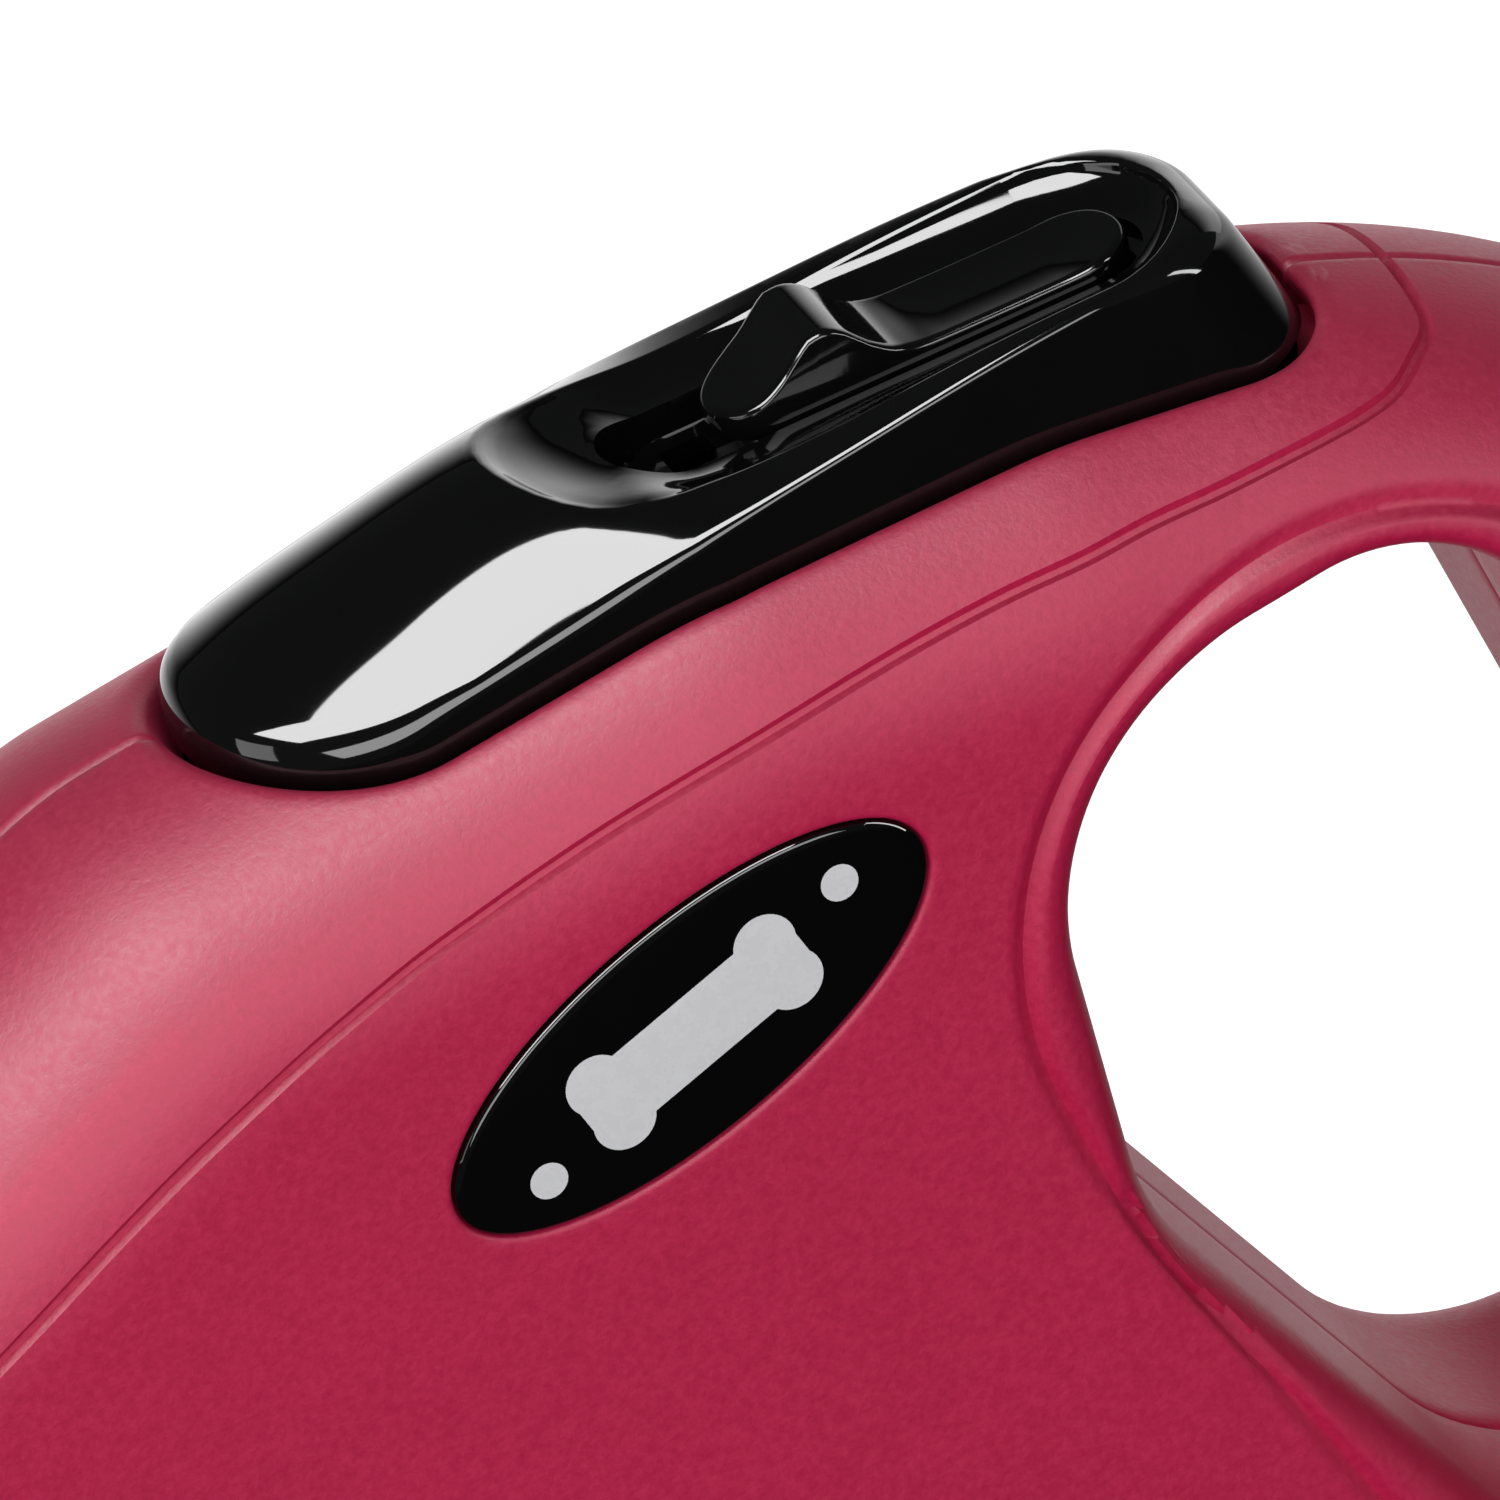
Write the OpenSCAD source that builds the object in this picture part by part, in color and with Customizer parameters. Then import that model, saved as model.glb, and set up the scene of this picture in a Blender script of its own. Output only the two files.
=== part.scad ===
// Retractable pet leash, S-M size, tape type, retracted.
// Frame: origin at the middle of the hand grip, +X to the back of the hand,
// -X to the nose where the tape leaves, +Z up, -Y the side with the first badge.
// The parting plane of the two half shells is y = 0.

/* [Housing] */
// Thickness across both half shells
body_t = 34; // [32:0.5:36]
// Moulded wall thickness
wall = 2.6; // [2.2:0.1:2.8]
// Distance over which the side rounds over to the parting line
edge_round = 14; // [12:0.5:15]
// Radius of the reel housing
housing_r = 48; // [47:0.5:50]
// Radius of the screw bosses
boss_r = 3; // [2.8:0.1:3.2]
// Core hole of a screw boss
screw_r = 1.1; // [1:0.05:1.3]

/* [Tape and reel] */
// Width of the tape
tape_w = 12; // [10:0.5:12]
// Thickness of the tape
tape_t = 0.7; // [0.6:0.05:0.8]
// Outer radius of the full winding
winding_r = 38.9; // [37:0.1:39]
// Radius of the drum that the tape is wound on
drum_r = 20; // [19:0.5:21]
// Radius of the reel flanges
flange_r = 40.5; // [40:0.1:41]
// Number of brake notches round the ratchet flange
notch_count = 24; // [24:12:24]
// Depth of a brake notch
notch_depth = 3.6; // [3.2:0.1:3.8]

/* [Brake] */
// Turn of the brake button from rest to fully pressed, degrees
button_turn = 4.5; // [3.5:0.25:4.5]
// Turn of the brake lever for each degree of the button
lever_ratio = 1.075; // [1:0.025:1.1]
// Radius of the steel pins
pin_r = 1.5; // [1.2:0.1:1.6]
// Radius of the brake button's pivot pin
button_pin_r = 1.2; // [1:0.05:1.2]
// Radial clearance of a pin or shaft in a bore that turns on it
run_gap = 0.05; // [0.02:0.01:0.08]

/* [Lock slider] */
// Width of the slider's finger pad
slider_w = 6.4; // [6:0.1:6.6]
// Travel of the slider to its locked place
slider_travel = 4; // [3:0.25:4]

/* [Badges] */
// Half length of the oval badge
badge_a = 15.2; // [14:0.1:15.5]
// Half height of the oval badge
badge_b = 6.3; // [6:0.1:6.5]
// How far a badge lies below the flat side
badge_sunk = 0.1; // [0.05:0.05:0.3]

/* [Hidden] */

half_t = body_t / 2;
badge_recess = 0.9;
inner_y = half_t - wall;
crimson = [0.65, 0.11, 0.27];
black = [0.03, 0.03, 0.035];
steel = [0.62, 0.63, 0.65];

// Outline circles of the housing: x, z, radius
reel_c = [-92, 10];
OUTLINE = [[reel_c.x, reel_c.y, housing_r], [-77, 41.5, 20.3], [-55, 16.7, 40],
    [-41.9, 10.9, 40], [-40.5, -2.1, 50.4], [-13, -23, 25], [-128, 39, 17]];
// Finger hole circles: x, z, radius
HOLE = [[-21, 19.8, 10.9], [-26, 16.5, 15.3], [-29, 5, 16.4], [-28.5, -20, 13]];
SCREWS = [[-80, 54.2], [-46, -34.5], [-1.5, -36], [-4.6, 23.1], [-133, 30]];

// Stations along Y of what turns on the spindle
tape_y0 = -9;
tape_y1 = tape_y0 + tape_w;
flange_t = 1.5;
flange_gap = 0.2;
near_flange_y = tape_y0 - flange_gap - flange_t;
far_flange_y = tape_y1 + flange_gap;
barrel_y = far_flange_y + flange_t;
barrel_h = 7.3;
cover_y = barrel_y + barrel_h;
cover_t = 1.2;
spindle_r = 4;
sleeve_r = 7;
boss_y = -12.4;
barrel_r = 30;
barrel_wall = 1.4;
coil_step = 1.9;
coil_turns = 8;
strip_t = 0.6;

// Brake: button pivot, lever pivot, angle of the notch that the pawl enters
button_c = [-58.5, 49];
lever_c = [-17, 36.9];
notch_angle = 52.5;
lever_turn = button_turn * lever_ratio;
lever_y0 = -3.2;
lever_y1 = 1.3;
pawl_r = flange_r - notch_depth + 0.7;

// Brake button: how far it sits inside the opening
button_gap = 0.5;
front_half_w = 10.2;
rear_half_w = 7.8;
PLAN = [[-58.4, front_half_w], [-43, front_half_w], [-17.5, rear_half_w]];
CROWN = [[-68.6, 60.2], [-66, 61.1], [-61, 61.2], [-52, 60.2], [-44, 58.2], [-33, 55],
    [-20, 50.4], [-12, 46.4], [-9.7, 44.4]];
RIM = [[-68.6, 57.8], [-58, 56.5], [-48, 54.8], [-38, 53.1], [-24, 49.7], [-12, 45.8], [-9.7, 44]];
SKIRT = [[-9.7, 36.5], [-68.6, 49.8]];
// Lock slider: its guide line falls to the rear
slider_tilt = 19;
slider_o = [-26, 0, 49.3];
roof_z = -3.3;
floor_z = -0.95;
scoop_r = 12;
// Where the button's post bears on the ear of the lever
ear_c = [-37, 39.3];
ear_r = 2;

// Tape run: a straight line that touches the winding and falls towards the mouth
run_fall = 7;
run_r = winding_r + tape_t / 2 + 0.15;
run_start = reel_c + run_r * [-sin(run_fall), cos(run_fall)];
mouth_x = -146;
function run_z(x) = run_start.y + (x - run_start.x) * tan(run_fall);
tape_y = tape_y0 + tape_w / 2;
roller_r = 3;
roller_c = [-128, run_z(-128) - tape_t / 2 - roller_r - 0.1];
mouth_z = run_z(mouth_x);
eye_r = 2.5;

// ---- helpers ----

// Round bar along Y between two stations
module bar_y(c, r, y0, y1) {
    translate([c.x, y0, c.y]) rotate([-90, 0, 0]) cylinder(r = r, h = y1 - y0, $fn = 64);
}

// A flat X-Z outline made into a plate between two stations
module plate_y(y0, y1) {
    translate([0, y1, 0]) rotate([90, 0, 0]) linear_extrude(height = y1 - y0) children();
}

// Ring about the reel's axis
module ring_y(r_in, r_out, y0, y1) {
    difference() {
        bar_y(reel_c, r_out, y0, y1);
        bar_y(reel_c, r_in, y0 - 1, y1 + 1);
    }
}

// One outline circle as a disc whose edge rounds over to the parting line
module puck(c, r, h, e) {
    steps = 6;
    quarter = [for (i = [0 : steps]) [r - e + e * cos(90 * i / steps), h * sin(90 * i / steps)]];
    lower = [for (i = [0 : steps - 1]) [quarter[steps - i].x, -quarter[steps - i].y]];
    translate([c.x, 0, c.y]) rotate([-90, 0, 0])
        rotate_extrude($fn = 48) polygon(concat([[0, -h]], lower, quarter, [[0, h]]));
}

module body_form(inset) {
    hull() for (c = OUTLINE) {
        r = c[2] - inset;
        puck(c, r, half_t - inset, min(edge_round - inset, r));
    }
}

// Finger hole outline grown by a margin
module hole_outline(grow) {
    hull() for (c = HOLE) translate([c.x, c.y]) circle(r = c[2] + grow, $fn = 64);
}

// Oval of the badge, grown by a margin
module badge_outline(grow) {
    translate([-58, 36.2]) rotate(-0.6) scale([badge_a + grow, badge_b + grow]) circle(r = 1, $fn = 72);
}

// Plan of the button or of its opening, as a tall prism along Z
module button_plan(grow, z0, z1) {
    translate([0, 0, z0]) linear_extrude(height = z1 - z0) hull() {
        translate([PLAN[0].x, 0]) circle(r = front_half_w + grow, $fn = 48);
        translate([PLAN[1].x, 0]) square([1, 2 * (front_half_w + grow)], center = true);
        for (s = [-1, 1]) translate([-13.7, s * (rear_half_w - 4)]) circle(r = 4 + grow, $fn = 32);
    }
}

// ---- housing ----

// Everything moulded inside a half shell: side is -1 for left, 1 for right
module shell_bosses(side) {
    y_out = side * (inner_y + 1);
    module post(c, r, y_in) {
        bar_y(c, r, min(y_in, y_out), max(y_in, y_out));
    }
    for (c = SCREWS) post(c, boss_r, 0);
    post(reel_c, 7, side * (side < 0 ? 12.4 : 13.9));
    post(button_c, 2.5, side * (front_half_w + 0.5));
    post(roller_c, 2.6, side < 0 ? -10.9 : 4.9);
}

module shell_bores(side) {
    for (c = SCREWS) {
        if (side < 0) bar_y(c, screw_r, -12, 0.1);
        else {
            bar_y(c, screw_r + 0.3, -0.1, half_t + 1);
            bar_y(c, 2.4, 10, half_t + 1);
        }
    }
    bar_y(reel_c, spindle_r, -15.4, 15.4);
    bar_y(button_c, button_pin_r, -12.5, 12.5);
    bar_y(lever_c, pin_r, -8, 8);
    bar_y(roller_c, 1, -12.5, 6.5);
}

// Small lugs on the roof of the finger hole that carry the lever pin
module lever_lug(side) {
    y0 = side < 0 ? lever_y0 - 1.8 : lever_y1 + 0.1;
    plate_y(y0, y0 + 1.7) hull() {
        translate(lever_c) circle(r = 2.7, $fn = 32);
        translate([-21, 33]) square([6.2, 2]);
    }
}

// Shelves that the two brake springs stand on
module spring_shelf(side) {
    if (side < 0) translate([-51.5, -inner_y - 0.5, 28.5]) cube([9, inner_y - 0.5, 1.5]);
    else translate([-49.5, 1.8, 38.5]) cube([9, inner_y - 1.3, 1.5]);
}

module shell(side) {
    y0 = side < 0 ? -half_t - 1 : 0;
    color(crimson) difference() {
        intersection() {
            body_form(0);
            translate([-200, y0, -100]) cube([300, half_t + 1, 200]);
        }
        difference() {
            body_form(wall);
            plate_y(-half_t, half_t) hole_outline(wall);
            shell_bosses(side);
            lever_lug(side);
            spring_shelf(side);
        }
        plate_y(-half_t - 1, half_t + 1) hole_outline(0);
        intersection() {
            button_plan(button_gap, 34, 70);
            plate_y(-half_t, half_t) polygon(concat([[-75, 80]], [[-75, 52]],
                [[-56, 46], [-40, 43], [-26, 37.5], [-7, 31], [0, 80]]));
        }
        plate_y(side * half_t - badge_recess, side * half_t + badge_recess) badge_outline(0.15);
        shell_bores(side);
        outlet_block(0.02);
    }
}
module left_shell() { shell(-1); }

module right_shell() { shell(1); }

module badge(side) {
    face = side * (half_t - badge_sunk);
    back = side * (half_t - badge_recess);
    color(black) plate_y(min(face, back), max(face, back)) badge_outline(0);
}

module left_badge() { badge(-1); }

module right_badge() { badge(1); }

// Cross-head screws driven from the right side
module housing_screws() {
    color(steel) for (c = SCREWS) difference() {
        union() {
            bar_y(c, screw_r, -8, 10.4);
            bar_y(c, 2.2, 10, 11.8);
        }
        for (a = [0, 90]) translate([c.x, 11.8, c.y]) rotate([0, a, 0]) cube([2.6, 1.6, 0.6], center = true);
    }
}

// ---- brake button ----

module on_slider_line() {
    translate(slider_o) rotate([0, slider_tilt, 0]) children();
}

// Outer form: a crowned front that falls to a narrower rear
module button_block() {
    intersection() {
        hull() {
            plate_y(-4.5, 4.5) polygon(concat(CROWN, SKIRT));
            plate_y(-front_half_w, front_half_w) polygon(concat(RIM, SKIRT));
        }
        button_plan(0, 30, 70);
    }
}

// Dished thumb scoop, and the flat bed of the slider at its bottom
module scoop() {
    on_slider_line() {
        translate([-5, 0, scoop_r + floor_z]) sphere(r = scoop_r, $fn = 64);
        translate([-5, 0, scoop_r + floor_z]) rotate([0, 90, 0]) cylinder(r = scoop_r, h = 16, $fn = 96);
        translate([-17.2, -slider_w / 2 - 0.3, floor_z]) cube([30.2, slider_w + 0.6, 14]);
        translate([-14, -2, -6]) cube([18.1, 4, 8]);
    }
}

// Hollow underside with its walls
module button_hollow() {
    plate_y(-7.6, 7.6) polygon([[-53, 30], [-53, 54], [-44, 53], [-42.2, 51.4], [-30, 47.2], [-30, 30]]);
    plate_y(-5.6, 5.6) polygon([[-31, 30], [-31, 47.6], [-24.5, 45.3], [-24.5, 46.3],
        [-16.9, 43.7], [-12.6, 42.2], [-12.6, 30]]);
    translate([-70, -11, 45]) cube([10, 2.3, 5.6]);
}

module brake_button() {
    color(black) difference() {
        union() {
            difference() {
                button_block();
                button_hollow();
            }
            plate_y(-8.7, -7.6) translate(button_c) circle(r = 2.5, $fn = 48);
            plate_y(7.6, 10.1) translate(button_c) circle(r = 2.5, $fn = 48);
            translate([ear_c.x - 1.2, 4.2, ear_c.y + ear_r + 0.05]) cube([2.4, 4.4, 8]);
        }
        scoop();
        bar_y(button_c, button_pin_r + run_gap, -front_half_w - 1, front_half_w + 1);
    }
}

module button_pin() {
    color(steel) bar_y(button_c, button_pin_r, -12.4, 12.4);
}

// A coil spring standing on z0: a round wire turned about the spring's axis
module coil(c, r, wire, h, turns) {
    translate([c.x, c.y, c.z]) linear_extrude(height = h, twist = -360 * turns, slices = 14 * turns)
        translate([r, 0]) circle(r = wire, $fn = 8);
}

module button_spring() {
    color(steel) coil([-46, 5, 40.05], 2.2, 0.35, 12.2, 8);
}

// Finger pad with a raised front wave, and the tongue that reaches through the slot
module lock_slider() {
    wave = [[-11.6, -0.9], [-11.4, 0.6], [-9.2, 1.1], [-8, 2], [-6.7, 3], [-5.7, 3.6], [-4.8, 3.5],
        [-3.9, 2.9], [-2.7, 1.7], [-1.2, 0.9], [0.6, 0.7], [12, 0.7], [12.6, 0.2], [12.6, -0.9]];
    color(black) on_slider_line() {
        plate_y(-slider_w / 2, slider_w / 2) polygon(wave);
        translate([-9.7, -1.75, roof_z - 0.1]) cube([13.5, 3.5, 2.6]);
    }
}

// Plate clipped under the roof that keeps the slider in its slot
module slider_keeper() {
    color(black) on_slider_line() translate([-11, -3.4, roof_z - 1.3]) cube([16, 6.8, 1.2]);
}

// ---- brake lever ----

module lever_arm_outline() {
    translate(lever_c) circle(r = 2.9, $fn = 48);
    hull() {
        translate(lever_c) circle(r = 2.2, $fn = 32);
        translate([-46, 40.4]) circle(r = 2.2, $fn = 32);
    }
    hull() {
        translate([-46, 40.4]) circle(r = 2.2, $fn = 32);
        translate([-60, 43.4]) circle(r = 2, $fn = 32);
    }
}

// The pawl as it stands in its notch, turned back by the lever's travel
module pawl_outline() {
    translate(lever_c) rotate(-lever_turn) translate(-lever_c) translate(reel_c) rotate(notch_angle)
        translate([pawl_r, -2.8]) square([6.6, 3.8]);
    hull() {
        translate([-57, 43.2]) circle(r = 2, $fn = 32);
        translate([-64.8, 47.2]) circle(r = 1.4, $fn = 32);
    }
}

module brake_lever() {
    color([0.85, 0.85, 0.83]) difference() {
        union() {
            plate_y(lever_y0, lever_y1) lever_arm_outline();
            plate_y(-11, -9.1) pawl_outline();
            bar_y([-57, 43.2], 2.2, -11, lever_y1);
            bar_y(ear_c, ear_r, lever_y0, 7.4);
        }
        bar_y(lever_c, pin_r + run_gap, -8, 8);
    }
}

module lever_pin() {
    color(steel) bar_y(lever_c, pin_r, lever_y0 - 1.8, lever_y1 + 1.8);
}

module lever_spring() {
    color(steel) coil([-46.5, -1, 30.05], 2, 0.35, 7.7, 6);
}

// ---- reel ----

module reel() {
    color([0.86, 0.86, 0.84]) difference() {
        union() {
            ring_y(spindle_r + run_gap, sleeve_r, near_flange_y - 0.6, cover_y + cover_t);
            ring_y(drum_r - 1.8, drum_r, tape_y0 - flange_gap, far_flange_y + 0.5);
            ring_y(sleeve_r - 0.5, flange_r, far_flange_y, far_flange_y + flange_t);
            for (a = [0 : 60 : 300]) translate([reel_c.x, 0, reel_c.y]) rotate([0, a, 0])
                translate([sleeve_r - 0.5, tape_y0, -0.8]) cube([drum_r - sleeve_r - 0.5, 12.5, 1.6]);
        }
        bar_y(reel_c, spindle_r + run_gap, -20, 20);
    }
}

// Near flange with the brake notches
module ratchet_flange() {
    pitch = 360 / notch_count;
    color([0.86, 0.86, 0.84]) difference() {
        ring_y(sleeve_r + 0.02, flange_r, near_flange_y, near_flange_y + flange_t);
        for (i = [0 : notch_count - 1]) translate([reel_c.x, 0, reel_c.y]) rotate([0, pitch * (i + 0.5), 0])
            translate([flange_r - notch_depth, near_flange_y - 1, -3.4]) cube([10, flange_t + 2, 6.8]);
    }
}

module wound_tape() {
    color([0.05, 0.05, 0.06]) ring_y(drum_r, winding_r, tape_y0, tape_y1);
}

module spring_barrel() {
    color([0.86, 0.86, 0.84]) ring_y(barrel_r - barrel_wall, barrel_r, barrel_y, cover_y);
}

// Spiral steel strip, wound from the arbor out to the barrel
module mainspring() {
    r0 = 11.6;
    n = 24 * coil_turns;
    function at(i, d) = let (a = 360 * i / 24, r = r0 + coil_step * i / 24 + d) r * [cos(a), sin(a)];
    color(steel) plate_y(barrel_y + 0.3, cover_y - 0.3) translate(reel_c)
        polygon(concat([for (i = [0 : n]) at(i, 0)], [for (i = [n : -1 : 0]) at(i, strip_t)]));
}

module barrel_cover() {
    color([0.86, 0.86, 0.84]) ring_y(sleeve_r + 0.02, barrel_r, cover_y, cover_y + cover_t);
}

// Hub inside the barrel that the inner end of the mainspring hooks on
module spring_arbor() {
    color(steel) difference() {
        ring_y(sleeve_r + 0.02, 10.8, barrel_y + 0.2, cover_y - 0.2);
        translate([reel_c.x, barrel_y - 1, reel_c.y + 8]) cube([0.9, 12, 4]);
    }
}

module spindle() {
    color(steel) bar_y(reel_c, spindle_r, -15.3, 15.3);
}

module near_washer() {
    color(steel) ring_y(spindle_r + 0.02, 6.8, boss_y + 0.05, near_flange_y - 0.65);
}

module far_washer() {
    color(steel) ring_y(spindle_r + 0.02, 6.8, cover_y + cover_t + 0.05, 13.85);
}

// ---- outlet ----

// Straight tape from the winding to the mouth
module tape_run() {
    length = (run_start.x - mouth_x) / cos(run_fall);
    color([0.05, 0.05, 0.06]) translate([run_start.x, tape_y, run_start.y]) rotate([0, -run_fall, 0])
        translate([-length, -tape_w / 2, -tape_t / 2]) cube([length, tape_w, tape_t]);
}

module guide_roller() {
    color([0.86, 0.86, 0.84]) difference() {
        bar_y(roller_c, roller_r, tape_y0 - 0.6, tape_y1 + 0.6);
        bar_y(roller_c, 1 + run_gap, -20, 20);
    }
}

module roller_pin() {
    color(steel) bar_y(roller_c, 1, -12.4, 6.4);
}

// Outer form of the outlet guide where it sits in the nose
module outlet_block(grow) {
    translate([mouth_x + 0.1, tape_y, mouth_z]) rotate([0, -run_fall, 0]) rotate([0, 90, 0])
        linear_extrude(height = 9.4) offset(r = 1.5 + grow, $fn = 24)
            square([2 * 4.2 - 3, 2 * 8.8 - 3], center = true);
}

module outlet_guide() {
    color(black) difference() {
        union() {
            outlet_block(0);
            translate([mouth_x - 1.7, tape_y, mouth_z]) rotate([0, -run_fall, 0]) rotate([0, 90, 0])
                linear_extrude(height = 1.8) offset(r = 3, $fn = 24)
                    square([2 * 6 - 6, 2 * 10.6 - 6], center = true);
        }
        translate([mouth_x - 3, tape_y, mouth_z]) rotate([0, -run_fall, 0])
            translate([-1, -tape_w / 2 - 0.5, -1.1]) cube([16, tape_w + 1, 2.2]);
    }
}

// Stop at the tape's end, with an eye for a lead or a snap hook
module tape_end_stop() {
    color(black) translate([mouth_x - 1.75, tape_y, mouth_z - 0.1]) rotate([0, -run_fall, 0]) difference() {
        union() {
            translate([-3.6, -8, -3]) cube([3.6, 16, 6]);
            translate([-8.4, -5, -1.6]) cube([6, 10, 3.2]);
            translate([-8.4, 0, -1.6]) cylinder(r = 5, h = 3.2, $fn = 64);
        }
        translate([-8.9, 0, -4]) cylinder(r = eye_r, h = 8, $fn = 48);
    }
}

left_shell();
right_shell();
left_badge();
right_badge();
housing_screws();
brake_button();
button_pin();
button_spring();
lock_slider();
slider_keeper();
brake_lever();
lever_pin();
lever_spring();
reel();
ratchet_flange();
wound_tape();
spring_barrel();
mainspring();
barrel_cover();
spring_arbor();
spindle();
near_washer();
far_washer();
tape_run();
guide_roller();
roller_pin();
outlet_guide();
tape_end_stop();
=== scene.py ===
"""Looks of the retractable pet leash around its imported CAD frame.

Lengths in this script are in millimetres, in the CAD frame, and become metres
where a mesh is made. -Y is the side the camera sees, and y = 0 the parting plane.
"""
import math

import bpy
import numpy as np
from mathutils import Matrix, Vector, geometry


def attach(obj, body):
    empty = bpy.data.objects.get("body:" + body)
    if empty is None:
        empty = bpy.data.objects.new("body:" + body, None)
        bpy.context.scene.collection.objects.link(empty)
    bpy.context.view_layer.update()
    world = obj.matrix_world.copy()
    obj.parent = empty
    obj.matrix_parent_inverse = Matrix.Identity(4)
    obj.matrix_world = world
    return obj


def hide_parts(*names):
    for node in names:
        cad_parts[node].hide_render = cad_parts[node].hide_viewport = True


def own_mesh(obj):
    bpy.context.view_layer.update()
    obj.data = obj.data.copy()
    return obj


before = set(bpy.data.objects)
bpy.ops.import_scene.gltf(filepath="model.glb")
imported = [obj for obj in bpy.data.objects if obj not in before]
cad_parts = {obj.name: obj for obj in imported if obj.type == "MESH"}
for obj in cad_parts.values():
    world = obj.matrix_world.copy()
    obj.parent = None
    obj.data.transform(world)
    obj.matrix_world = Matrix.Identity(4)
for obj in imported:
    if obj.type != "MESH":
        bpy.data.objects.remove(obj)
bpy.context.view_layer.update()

MM = 0.001

# ---- driving dimensions, as in the CAD source ----
HALF_T = 17.0          # half thickness of the housing
EDGE = 14.0            # in-plane reach of the rounded edge
WALL = 2.6
OUTLINE = [(-92, 10, 48), (-77, 41.5, 20.3), (-55, 16.7, 40), (-41.9, 10.9, 40),
           (-40.5, -2.1, 50.4), (-13, -23, 25), (-128, 39, 17)]
HOLE = [(-21, 19.8, 10.9), (-26, 16.5, 15.3), (-29, 5, 16.4), (-28.5, -20, 13)]
SCREWS = [(-80, 54.2), (-46, -34.5), (-1.5, -36), (-4.6, 23.1), (-133, 30)]
SCREW_BORE = 2.4
BADGE_C = (-58.0, 36.2)
BADGE_A, BADGE_B = 15.2, 6.3
BADGE_TILT = math.radians(-0.6)
BADGE_DEEP = 0.9
BUTTON_GAP = 0.5
PLAN = [(-58.4, 0, 10.2), (-42.5, 0, 10.2), (-15.2, 2.3, 5.5), (-15.2, -2.3, 5.5)]
SLIDER_TILT = math.radians(19)
SLIDER_O = (-26.0, 49.3)
# Hand hole rim and the two moulded grooves
RIM_IN, RIM_DEEP = 2.4, 5.0
RING_GROOVE = [(-25.2, 14.5, 20.7), (-27.5, 10.5, 19.0), (-28.6, -18.8, 17.4)]
# Side line: distance inside the outline at stations along X, up to the seam
SIDE_LINE = [(-93, 11.6), (-84, 11.5), (-74, 11.1), (-66, 10.2), (-58, 9.5), (-50, 9.0),
             (-43, 8.5), (-36, 7.6), (-28, 6.6), (-20, 5.4), (-13, 4.1), (-9.5, 3.1), (-6.8, 1.8),
             (-5.2, 0.9), (-4.6, 0.0)]
# Its height in front of that, as x and z
SIDE_TOP = [(-100, 47.55), (-93, 48.4), (-87, 49.2), (-81, 49.8), (-74.5, 50.1),
            (-68, 49.9), (-61.5, 49.2),
            (-55.4, 48.3), (-49.3, 47.1), (-43.4, 45.8), (-37.5, 44.3), (-31.6, 42.5),
            (-26.4, 40.6), (-20, 38.4)]


def smooth(t):
    t = np.clip(t, 0, 1)
    return t * t * (3 - 2 * t)


def spline(points, x):
    """Smooth curve through points (x, value), with slopes limited so that it never overshoots."""
    p = np.asarray(points, float)
    h = np.diff(p[:, 0])
    d = np.diff(p[:, 1]) / h
    m = np.zeros(len(p))
    for i in range(1, len(p) - 1):
        if d[i - 1] * d[i] > 0:
            w1, w2 = 2 * h[i] + h[i - 1], h[i] + 2 * h[i - 1]
            m[i] = (w1 + w2) / (w1 / d[i - 1] + w2 / d[i])
    m[0], m[-1] = d[0], d[-1]
    x = np.clip(x, p[0, 0], p[-1, 0])
    k = np.clip(np.searchsorted(p[:, 0], x) - 1, 0, len(p) - 2)
    t = (x - p[k, 0]) / h[k]
    t2, t3 = t * t, t * t * t
    return ((2 * t3 - 3 * t2 + 1) * p[k, 1] + (t3 - 2 * t2 + t) * h[k] * m[k]
            + (3 * t2 - 2 * t3) * p[k + 1, 1] + (t3 - t2) * h[k] * m[k + 1])


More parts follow.
